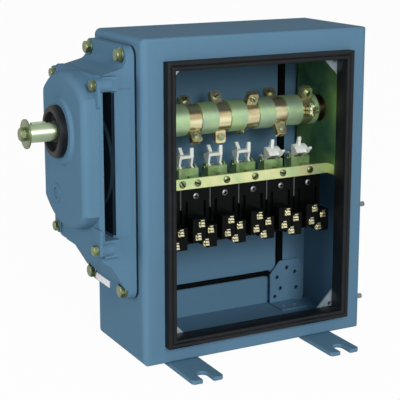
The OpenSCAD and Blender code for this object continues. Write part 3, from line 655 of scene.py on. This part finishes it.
def bolt_mesh(name, across, head, washer, thickness, shank, length, nut=None):
    """Hexagon bolt with a chamfered head on a plain washer, and a nut from one depth to another."""
    hexes = [chamfered_hexagon(name, across, thickness, thickness + head)]
    if nut:
        hexes.append(chamfered_hexagon(name, across, *nut))
    edge = thickness * 0.22
    inner = washer - edge
    ring = lathe([(inner, 0), (washer, edge), (washer, thickness - edge), (inner, thickness)], 36)
    waist = across * 0.47
    collar = lathe([(waist, thickness * 0.5), (waist, thickness + 3e-4)], 36)
    stem = tapered_stem(shank, tip=0.85, length=length, taper=0.001, steps=24)
    return merged(hexes + [to_mesh(work, name) for work in (ring, collar, stem)], name)


def tapered_stem(radius, tip, length, taper, steps=20):
    """Shank below the seat, narrowed to tip times its radius over its last stretch."""
    return lathe([(radius * tip, -length), (radius, -length + taper), (radius, 0.0)], steps)


def pan_mesh(name, radius, height, shank, length, recess):
    """Domed head with a cross recess, or a slot where recess is over 1."""
    head = [(radius * 0.96, 0.0), (radius, height * 0.22)]
    for turn in (0.25, 0.55, 0.85, 1.15, 1.4):
        head.append((radius * math.cos(turn), height * (0.30 + 0.70 * math.sin(turn))))
    head.append((0.0, height))
    arm, width = radius * recess, radius * 0.22
    floor, above = height - height * 0.85, height * 1.5
    slot = box_work((-arm, -width, floor), (arm, width, above))
    mesh = combine(lathe(head), slot, "DIFFERENCE", name)
    if recess < 1:
        slotted = bmesh.new()
        slotted.from_mesh(mesh)
        cross = box_work((-width, -arm, floor), (width, arm, above))
        mesh = combine(slotted, cross, "DIFFERENCE", name)
    stem = tapered_stem(shank, tip=0.8, length=length, taper=0.0006)
    return merged([mark_grime_and_shade(mesh, floor), to_mesh(stem, name)], name)


def pinch_mesh(name, grip):
    """Cheese-head screw through two ears, with its nut below."""
    profile = ((0.0035, 0), (0.0035, 0.0022), (0.0030, 0.0028))
    head = slotted_head(name, profile, half=0.0006, floor=0.0017)
    turned = lathe([(0.0028, -grip - 0.0031), (0.0052, -grip - 0.0012), (0.0052, -grip)], 28)
    prism = hex_prism(across=0.0069, low=-grip - 0.003, high=-grip)
    nut = combine(prism, turned, "INTERSECT", name)
    stem = tapered_stem(0.0020, tip=0.85, length=grip + 0.0044, taper=0.0004)
    return merged([head, nut, to_mesh(stem, name)], name)


def slotted_head(name, profile, half, floor):
    """Turned screw head with a slot: half the slot's width, and the height of its floor."""
    head = lathe([*profile, (0.0, profile[-1][1])], 28)
    slot = box_work((-0.005, -half, floor), (0.005, half, 0.004))
    return mark_grime_and_shade(combine(head, slot, "DIFFERENCE", name), floor)


# Geometry Nodes that set one fixing at every point


class Recipe(Tree):
    """A Geometry Nodes tree under construction, with its inputs by name."""

    def __init__(self, name, sockets):
        super().__init__(bpy.data.node_groups.new(name, "GeometryNodeTree"))
        self.identifiers = {}
        interface = self.tree.interface
        interface.new_socket("Geometry", in_out="OUTPUT", socket_type="NodeSocketGeometry")
        for label, kind in sockets.items():
            made = interface.new_socket(label, in_out="INPUT", socket_type=kind)
            self.identifiers[label] = made.identifier
        self.entry = self.tree.nodes.new("NodeGroupInput")

    def given(self, label):
        return Value(self, self.entry.outputs[label])

    def end(self, geometry):
        self.node("NodeGroupOutput", {}, {0: geometry})
        return self


def fixing_recipe():
    """Sets the given fixing on every point, its axis along the point's aim, turned at random."""
    tree = Recipe(
        "Fixings on points",
        {
            "Geometry": "NodeSocketGeometry",
            "Fixing": "NodeSocketObject",
            "Turn": "NodeSocketFloat",
            "Seed": "NodeSocketInt",
            "Material": "NodeSocketMaterial",
        },
    )
    aim = tree.node(
        "GeometryNodeInputNamedAttribute", {"data_type": "FLOAT_VECTOR"}, {"Name": "aim"}
    )
    facing = tree.node("FunctionNodeAlignRotationToVector", {"axis": "Z"}, {"Vector": aim})
    chance = tree.node(
        "FunctionNodeRandomValue",
        {"data_type": "FLOAT"},
        {2: -1.0, 3: 1.0, "Seed": tree.given("Seed")},
        1,
    )
    turn = tree.node("ShaderNodeCombineXYZ", {}, {"Z": chance * tree.given("Turn")})
    spin = tree.node("FunctionNodeEulerToRotation", {}, {0: turn})
    rotation = tree.node(
        "FunctionNodeRotateRotation", {"rotation_space": "LOCAL"}, {0: facing, 1: spin}
    )
    shape = tree.node(
        "GeometryNodeObjectInfo",
        {"transform_space": "ORIGINAL"},
        {"Object": tree.given("Fixing"), "As Instance": True},
        "Geometry",
    )
    placed = tree.node(
        "GeometryNodeInstanceOnPoints",
        {},
        {"Points": tree.given("Geometry"), "Instance": shape, "Rotation": rotation},
    )
    real = tree.node("GeometryNodeRealizeInstances", {}, {"Geometry": placed})
    finished = {"Geometry": real, "Material": tree.given("Material")}
    return tree.end(tree.node("GeometryNodeSetMaterial", {}, finished))


def set_fixings(name, mesh, spots, finish, turn=math.pi):
    """One piece with the fixing at every (point, aim) of spots."""
    recipe = fixing_recipe()
    points = bpy.data.meshes.new(name)
    points.from_pydata([point for point, aim in spots], [], [])
    aims = points.attributes.new("aim", "FLOAT_VECTOR", "POINT")
    aims.data.foreach_set("vector", [value for point, aim in spots for value in aim])
    pattern = add_piece(name + "_pattern", mesh, finish)
    piece = add_piece(name, points, finish)
    modifier = piece.modifiers.new("Fixings", "NODES")
    modifier.node_group = recipe.tree
    for label, value in {
        "Fixing": pattern,
        "Turn": turn,
        "Seed": studio().seed,
        "Material": look(finish),
    }.items():
        modifier[recipe.identifiers[label]] = value
    bake(piece)
    shade(piece.data)
    drop(pattern)
    return piece


# The pieces of the switch. Lengths here are in millimetres off the case's corner

LEFT = (-1, 0, 0)
FRONT = (0, -1, 0)
BACK = (0, 1, 0)
# The case's outer size, and the radius of the folds along its depth
CASE = Vector((284.0, 124.0, 360.0))
FOLD = 7.0
# Outer edge of the front seal, and the radius of its corners
SEAL = {"x": 25.0, "z": 20.0, "width": 234.0, "height": 315.0, "corner": 0.7}
# Section of the seal: inset from its outer edge, and depth behind the case front
SEAL_SECTION = [
    (0.0, 0.0), (0.0, -10.0), (0.35, -11.1), (1.3, -11.8), (2.6, -12.0), (3.6, -11.6),
    (4.3, -10.9), (4.8, -10.5), (5.3, -10.9), (6.0, -11.6), (7.0, -12.0), (8.3, -11.8),
    (9.25, -11.1), (9.6, -10.0), (9.6, 9.2), (9.2, 9.9), (8.2, 10.0), (7.2, 9.9),
    (6.8, 9.2), (6.8, 0.0),
]
# Stations along the camshaft, their spacing, and the first clamp and contact block
STATIONS = range(1, 7)
PITCH = 37.2
FIRST_CLAMP = 51.7
FIRST_CONTACT = 46.9
CONTACTS = [FIRST_CONTACT + PITCH * (station - 1) for station in STATIONS]
# Depth and height of the axis of the camshaft and the input shaft, and the end screw's seat
AXIS = (65, 258.5)
END_SCREW_X = -106
# Flange and cover bolts: their seat, then the middle and the half spacing, as (depth, height)
FLANGE_BOLTS = (-12, (67, 212.5), (42.5, 129))
COVER_BOLTS = (-50, (65, 226), (57, 87.5))
# Angles of the two ears of each clamp, in degrees
DOGS = ((200, 20), (144, 320), (177, 334), (27, 217), (148, 327), (85, 20))
# Seat of a pinch screw off the axis at angle 0, in metres
PINCH_SEAT = Vector((0, -0.004, 0.0232))
# Depth of the rail's front, height of its lower edge, and its middle above that
RAIL_Y = 40
RAIL_Z = 184
RAIL_MIDDLE = 6
RAIL_SCREWS = [x + 2.3 for x in CONTACTS] + [67.4]
# Screws of the blocks: height off the rail's edge, and the depths they are set at
BLOCK_SCREW_Z = -9
BLOCK_SCREW_SIDES = ((41, FRONT), (84.5, BACK))
# Terminals of one block: depth, and each one's place sideways and above the rail's edge
TERMINAL_Y = 20
TERMINALS = ((-2.3, -36.5), (9.0, -44.4), (-6.5, -51.2), (3.3, -58.9))
# Separators: depth, height off the rail's edge, and half thickness, height and depth in metres
SEPARATOR_Y = 41.2
SEPARATOR_Z = -23.5
SEPARATOR_SIZE = (0.0004, 0.023, 0.019)
# Two corners of the bare plate
PLATE = ((-12.8, 64, 75), (-11.9, 104, 83))


class SwitchOperator:
    """What the operators share."""

    bl_options = {"REGISTER", "UNDO"}


def rounded_ring(work, low, high, radius, depth, steps=6):
    """Rounded rectangle between two (x, z) corners."""
    left, right = low[0] + radius, high[0] - radius
    bottom, top = low[1] + radius, high[1] - radius
    ring = []
    for quarter, (x, z) in enumerate(((right, top), (left, top), (left, bottom), (right, bottom))):
        for i in range(steps + 1):
            turn = (quarter + i / steps) * math.pi / 2
            corner = at(x + radius * math.cos(turn), depth, z + radius * math.sin(turn))
            ring.append(work.verts.new(corner))
    return ring


def folded_case():
    """The case, with the folds along its depth rounded by what it shares with a rounded bar."""
    case = bmesh.new()
    case.from_mesh(clean_copy("enclosure"))
    # The bar clears the flat walls by a hair, and reaches out in front and behind
    hair, front, back = 0.02, -20, CASE.y + 6
    bar = bmesh.new()
    low, high = (-hair, -hair), (CASE.x + hair, CASE.z + hair)
    rings = [rounded_ring(bar, low, high, FOLD, depth) for depth in (front, back)]
    join_rings(bar, rings)
    for ring in rings:
        bar.faces.new(ring)
    return combine(case, bar, "INTERSECT", "enclosure_folded")


class CAMSWITCH_OT_case(SwitchOperator, bpy.types.Operator):
    """Dress the sheet steel case, its corner plates, feet, panel and studs"""

    bl_idname = "cam_switch.case"
    bl_label = "Case"

    def execute(self, context):
        sheet = edges().sheet
        dress("enclosure", "case_blue", "case_blue", "case", sheet, mesh=folded_case())
        dress("corner_brackets", "pale_zinc", "plate_steel", "case", sheet)
        dress("foot_bars", "case_blue", "case_blue", "case", 2 * sheet)
        dress("mounting_panel", "case_blue", "case_blue", "case", sheet)
        dress("cable_bracket", "case_blue", "case_blue", "case", sheet)
        # The black edging is also painted shadow of the panel's gap along its right and bottom
        # edges
        dress("panel_edging", "black_edging", "black_plastic", "case", edges().moulding)
        dress("side_studs", "gear_steel", "zinc_yellow", "case", edges().metal)
        return {"FINISHED"}


def seal_ring(work, inset, depth):
    """Rounded rectangle at an inset from the seal's outer edge."""
    low = (SEAL["x"] + inset, SEAL["z"] + inset)
    high = (SEAL["x"] + SEAL["width"] - inset, SEAL["z"] + SEAL["height"] - inset)
    return rounded_ring(work, low, high, SEAL["corner"], depth)


class CAMSWITCH_OT_seal(SwitchOperator, bpy.types.Operator):
    """Mould the two-bead seal round the front opening"""

    bl_idname = "cam_switch.seal"
    bl_label = "Front Seal"

    def execute(self, context):
        work = bmesh.new()
        rings = [seal_ring(work, inset, depth) for inset, depth in SEAL_SECTION]
        join_rings(work, rings, closed=True)
        mesh = to_mesh(work, "front_seal_moulding", angle=50)
        piece = add_piece("front_seal_moulding", mesh, "seal_rubber")
        place(piece, "case", "seal_rubber", "front_seal")
        return {"FINISHED"}


class CAMSWITCH_OT_gear_unit(SwitchOperator, bpy.types.Operator):
    """Dress the gear unit's castings and shaft seal, and finish its plate, gasket and bearing"""

    bl_idname = "cam_switch.gear_unit"
    bl_label = "Gear Unit"

    def execute(self, context):
        radius = edges().casting
        dress("adapter_housing", "cast_blue", "cast_blue", "case", radius, segments=3)
        dress("gear_cover", "cast_blue", "cast_blue", "case", radius, segments=3, angle=40)
        dress("shaft_seal", "seal_rubber", "seal_rubber", "case", edges().moulding)
        finish_node("adapter_gasket", "seal_rubber")
        # The gear plate's near black is painted shade behind the adapter's windows
        finish_node("gear_plate", "dark_plate")
        finish_node("input_bearing", "bronze")
        return {"FINISHED"}


def four_corners(x, middle, half):
    """Spots that face left at the corners of an upright rectangle, from (y, z) pairs."""
    (y, z), (half_y, half_z) = middle, half
    corners = [(y + dy, z + dz) for dy in (-half_y, half_y) for dz in (-half_z, half_z)]
    return [(at(x, *corner), LEFT) for corner in corners]


class CAMSWITCH_OT_bolts(SwitchOperator, bpy.types.Operator):
    """Set the hexagon bolts of the flange and the gear cover"""

    bl_idname = "cam_switch.bolts"
    bl_label = "Hexagon Bolts"

    def execute(self, context):
        m8 = bolt_mesh(
            "m8", across=0.013, head=0.0053, washer=0.008, thickness=0.0016,
            shank=0.004, length=0.023, nut=(-0.0215, -0.015),
        )
        bolts = set_fixings(
            "flange_bolts_dressed", m8, four_corners(*FLANGE_BOLTS), "yellow_zinc"
        )
        place(bolts, "case", "zinc_yellow", "flange_bolts")
        m6 = bolt_mesh(
            "m6", across=0.010, head=0.0040, washer=0.0062, thickness=0.0012,
            shank=0.003, length=0.016,
        )
        bolts = set_fixings("cover_bolts_dressed", m6, four_corners(*COVER_BOLTS), "yellow_zinc")
        place(bolts, "case", "zinc_yellow", "cover_bolts")
        return {"FINISHED"}


class CAMSWITCH_OT_input_end(SwitchOperator, bpy.types.Operator):
    """Dress the input shaft with its key, washer and screw, and finish the gears"""

    bl_idname = "cam_switch.input_end"
    bl_label = "Input Shaft"

    def execute(self, context):
        dress("input_shaft", "ground_steel", "shaft_steel", "input", edges().metal, flats=False)
        dress("shaft_key", "ground_steel", "plate_steel", "input", edges().metal)
        dress("end_washer", "yellow_zinc", "zinc_yellow", "input", edges().metal)
        m8 = bolt_mesh(
            "m8_end", across=0.013, head=0.0053, washer=0.0066, thickness=0.0007,
            shank=0.004, length=0.016,
        )
        spots = [(at(END_SCREW_X, *AXIS), LEFT)]
        screw = set_fixings("end_screw_dressed", m8, spots, "yellow_zinc", turn=0.4)
        place(screw, "input", "zinc_yellow", "end_screw")
        finish_node("layshaft", "gear_steel")
        finish_node("layshaft_gear", "gear_steel")
        finish_node("output_gear", "gear_steel")
        return {"FINISHED"}


class CAMSWITCH_OT_camshaft(SwitchOperator, bpy.types.Operator):
    """Dress the camshaft with its sleeves, dog clamps and pinch screws"""

    bl_idname = "cam_switch.camshaft"
    bl_label = "Camshaft"

    def execute(self, context):
        radius = edges().metal
        finish_node("camshaft", "ground_steel")
        dress("cam_sleeves", "drum_zinc", "zinc_drum", "camshaft", radius)
        spots = []
        for station, angles in zip(STATIONS, DOGS):
            dress(f"cam_clamp_{station}", "clamp_zinc", "zinc_drum", "camshaft", radius)
            middle = at(FIRST_CLAMP + PITCH * (station - 1), *AXIS)
            for angle in angles:
                turn = Matrix.Rotation(math.radians(angle), 3, "X")
                spots.append((middle + turn @ PINCH_SEAT, turn @ Vector(FRONT)))
        pinch = pinch_mesh("pinch", grip=0.008)
        screws = set_fixings("clamp_screws_dressed", pinch, spots, "ground_steel")
        place(screws, "camshaft", "plate_steel", "clamp_screws")
        for side in ("left", "right"):
            dress("end_plate_" + side, "green_zinc", "zinc_plate", "case", radius)
        dress("camshaft_bushes", "bronze", "bronze", "case", radius)
        dress("frame_spacers", "yellow_zinc", "zinc_yellow", "case", radius)
        return {"FINISHED"}


class CAMSWITCH_OT_levers(SwitchOperator, bpy.types.Operator):
    """Dress the rail, the lever brackets, the trip levers and the slides"""

    bl_idname = "cam_switch.levers"
    bl_label = "Trip Levers"

    def execute(self, context):
        dress("contact_rail", "rail_zinc", "zinc_rail", "case", edges().metal)
        dress("lever_brackets", "leaf_zinc", "zinc_plate", "case", edges().metal)
        dress("lever_pivots", "ground_steel", "plate_steel", "case", edges().metal)
        for station in STATIONS:
            lever, slide = f"lever_{station}", f"contact_slide_{station}"
            dress(lever, "white_nylon", "white_nylon", lever, edges().lever)
            dress(slide, "ivory_plastic", "ivory_plastic", f"slide_{station}", edges().slide)
        return {"FINISHED"}


def clamp_mesh(name):
    """Terminal clamp: a slotted screw on a pressed saddle, under a soldering tag."""
    saddle = box_work((-0.0036, -0.0024, -0.0050), (0.0036, 0.0022, -0.0016))
    lip = box_work((-0.0036, -0.0032, -0.0040), (0.0036, -0.0024, -0.0004))
    tag = box_work((-0.0022, 0.0040, -0.0050), (0.0022, 0.0050, 0.0004))
    profile = ((0.0031, -0.0020), (0.0031, 0.0006), (0.0026, 0.0012))
    screw = slotted_head(name, profile, half=0.0005, floor=-0.0001)
    return merged([screw] + [to_mesh(work, name) for work in (saddle, lip, tag)], name)


class CAMSWITCH_OT_contacts(SwitchOperator, bpy.types.Operator):
    """Dress the contact blocks and fit their terminals and separators"""

    bl_idname = "cam_switch.contacts"
    bl_label = "Contact Blocks"

    def execute(self, context):
        for station in STATIONS:
            block = f"contact_block_{station}"
            dress(block, "black_moulding", "black_plastic", "case", edges().moulding)
        spots = []
        for x in CONTACTS:
            for dx, dz in TERMINALS:
                spots.append((at(x + dx, TERMINAL_Y, RAIL_Z + dz), FRONT))
        clamps = set_fixings("terminals_dressed", clamp_mesh("terminal"), spots, "brass", turn=0.0)
        place(clamps, "case", "terminal_brass", "terminals")
        half, height, depth = SEPARATOR_SIZE
        wall = to_mesh(box_work((-half, 0.0, -depth), (half, height, 0.0)), "separator")
        level = RAIL_Z + SEPARATOR_Z
        spots = [(at(x - PITCH / 2, SEPARATOR_Y, level), FRONT) for x in CONTACTS]
        walls = set_fixings("separators", wall, spots, "wall_plastic", turn=0.0)
        place(walls, "case", "ivory_plastic")
        return {"FINISHED"}


class CAMSWITCH_OT_screws(SwitchOperator, bpy.types.Operator):
    """Set the slotted screws of the rail and the cross-recess screws of the blocks"""

    bl_idname = "cam_switch.screws"
    bl_label = "Pan Screws"

    def execute(self, context):
        m5 = pan_mesh(
            "pan_m5", radius=0.0042, height=0.0019, shank=0.0025, length=0.005, recess=1.2
        )
        spots = [(at(x, RAIL_Y, RAIL_Z + RAIL_MIDDLE), FRONT) for x in RAIL_SCREWS]
        screws = set_fixings("rail_screws", m5, spots, "yellow_zinc")
        place(screws, "case", "plate_steel", "pan_screws")
        m4 = pan_mesh(
            "pan_m4", radius=0.0038, height=0.0019, shank=0.0020, length=0.005, recess=0.62
        )
        spots = []
        for depth, aim in BLOCK_SCREW_SIDES:
            spots += [(at(x, depth, RAIL_Z + BLOCK_SCREW_Z), aim) for x in CONTACTS]
        place(set_fixings("block_screws", m4, spots, "gear_steel"), "case", "plate_steel")
        return {"FINISHED"}


class CAMSWITCH_OT_plate(SwitchOperator, bpy.types.Operator):
    """Fix the bare plate on the mounting flange"""

    bl_idname = "cam_switch.plate"
    bl_label = "Bare Plate"

    def execute(self, context):
        work = box_work(*[at(*corner) for corner in PLATE])
        piece = add_piece("bare_plate", to_mesh(work, "bare_plate"), "bare_plate")
        roll_edges(piece, edges().metal)
        shade(piece.data)
        place(piece, "case", "white_nylon")
        return {"FINISHED"}


# The stage

WHITE = (1, 1, 1, 1)
# Where the camera stands, and its frame's width and shift to the side, in millimetres
# and as a share of that width. NEAREST, in metres, is where its view begins
CAMERA_SPOT = (-509.3, -1105.6, 492.3)
FRAME_WIDTH = 36.0
SIDE_SHIFT = -0.0015
NEAREST = 0.05
# What the lamps face, where they stand and their widths, in metres
MIDDLE = Vector((0.0, 0.0, 0.19))
KEY_SPOT, KEY_WIDTH = Vector((-0.45, -2.95, 1.35)), 1.2
FILL_SPOT, FILL_WIDTH = Vector((-3.1, -0.6, 0.9)), 1.6
FLOOR_REACH = 6.0


def area_lamp(name, spot, width, power):
    """Square lamp that faces the middle of the switch."""
    data = bpy.data.lights.new(name, "AREA")
    data.shape = "RECTANGLE"
    data.size = data.size_y = width
    data.energy = power
    lamp = bpy.data.objects.new(name, data)
    lamp.location = spot
    lamp.rotation_euler = (MIDDLE - spot).to_track_quat("-Z", "Y").to_euler()
    bpy.context.scene.collection.objects.link(lamp)


def seen_or_lit(tree):
    """1 for rays that show a background straight or by reflection, else 0."""
    rays = ["Is Camera Ray", "Is Glossy Ray", "Is Transmission Ray"]
    seen = [tree.node("ShaderNodeLightPath", output=ray) for ray in rays]
    return (seen[0] + seen[1] + seen[2]).clamped()


def pale_floor(colour, clear):
    """Matt floor that shows white, apart from a soft shadow under the object."""
    pale = Look("pale_floor")
    tone = linear(colour)
    base = pale.blend(pale.noise(0.6), shaded(tone, 0.98), tone)
    inputs = {"Base Color": base, "Roughness": 0.85, "Specular IOR Level": 0.1}
    matt = pale.node("ShaderNodeBsdfPrincipled", {}, inputs)
    white = pale.node("ShaderNodeEmission", {}, {"Color": WHITE, "Strength": 1.0})
    mixed = pale.node("ShaderNodeMixShader", {}, {0: seen_or_lit(pale) * clear, 1: matt, 2: white})
    pale.node("ShaderNodeOutputMaterial", {}, {"Surface": mixed})
    return pale.material


class CAMSWITCH_OT_stage(SwitchOperator, bpy.types.Operator):
    """Set the camera, the lamps, the sky and the floor"""

    bl_idname = "cam_switch.stage"
    bl_label = "Stage"

    def execute(self, context):
        settings = studio()
        camera = bpy.data.cameras.new("Camera")
        camera.lens = settings.lens
        camera.sensor_width = FRAME_WIDTH
        camera.shift_x = SIDE_SHIFT
        camera.shift_y = settings.shift
        camera.clip_start = NEAREST
        holder = bpy.data.objects.new("Camera", camera)
        holder.location = at(*CAMERA_SPOT)
        holder.rotation_euler = (math.pi / 2 - settings.elevation, 0.0, settings.azimuth)
        scene = bpy.context.scene
        scene.collection.objects.link(holder)
        scene.camera = holder
        scene.view_settings.view_transform = "Standard"

        area_lamp("Key", KEY_SPOT, KEY_WIDTH, settings.key)
        area_lamp("Fill", FILL_SPOT, FILL_WIDTH, settings.fill)

        world = bpy.data.worlds.new("Studio")
        world.use_nodes = True
        sky = Tree(world.node_tree)
        level = settings.sky + (1.0 - settings.sky) * seen_or_lit(sky)
        background = sky.node("ShaderNodeBackground", {}, {"Color": WHITE, "Strength": level})
        sky.node("ShaderNodeOutputWorld", {}, {"Surface": background})
        scene.world = world

        mesh = bpy.data.meshes.new("floor")
        signs = ((-1, -1), (1, -1), (1, 1), (-1, 1))
        corners = [(x * FLOOR_REACH, y * FLOOR_REACH, 0) for x, y in signs]
        mesh.from_pydata(corners, [], [(0, 1, 2, 3)])
        floor = bpy.data.objects.new("floor", mesh)
        scene.collection.objects.link(floor)
        mesh.materials.append(pale_floor(settings.floor, settings.clear))
        return {"FINISHED"}


class CAMSWITCH_PT_panel(bpy.types.Panel):
    """The switch's pieces and settings"""

    bl_idname = "CAMSWITCH_PT_panel"
    bl_label = "Geared Cam Switch"
    bl_space_type = "VIEW_3D"
    bl_region_type = "UI"
    bl_category = "Cam Switch"

    def draw(self, context):
        for operator in OPERATORS:
            self.layout.operator(operator.bl_idname)
        for name, group in SETTINGS.items():
            box = self.layout.box()
            box.label(text=group.__doc__)
            for field in group.__annotations__:
                box.prop(getattr(context.scene, name), field)


SETTINGS = {
    "cam_switch_paint": PaintSettings,
    "cam_switch_metal": MetalSettings,
    "cam_switch_polymer": PolymerSettings,
    "cam_switch_edges": EdgeSettings,
    "cam_switch_studio": StudioSettings,
}
OPERATORS = [
    CAMSWITCH_OT_case,
    CAMSWITCH_OT_seal,
    CAMSWITCH_OT_gear_unit,
    CAMSWITCH_OT_bolts,
    CAMSWITCH_OT_input_end,
    CAMSWITCH_OT_camshaft,
    CAMSWITCH_OT_levers,
    CAMSWITCH_OT_contacts,
    CAMSWITCH_OT_screws,
    CAMSWITCH_OT_plate,
    CAMSWITCH_OT_stage,
]


def register():
    for name, group in SETTINGS.items():
        bpy.utils.register_class(group)
        setattr(bpy.types.Scene, name, PointerProperty(type=group))
    for operator in OPERATORS:
        bpy.utils.register_class(operator)
    bpy.utils.register_class(CAMSWITCH_PT_panel)


def unregister():
    bpy.utils.unregister_class(CAMSWITCH_PT_panel)
    for operator in reversed(OPERATORS):
        bpy.utils.unregister_class(operator)
    for name, group in SETTINGS.items():
        delattr(bpy.types.Scene, name)
        bpy.utils.unregister_class(group)


def main():
    register()
    for operator in OPERATORS:
        category, name = operator.bl_idname.split(".")
        getattr(getattr(bpy.ops, category), name)()


if __name__ == "__main__":
    main()
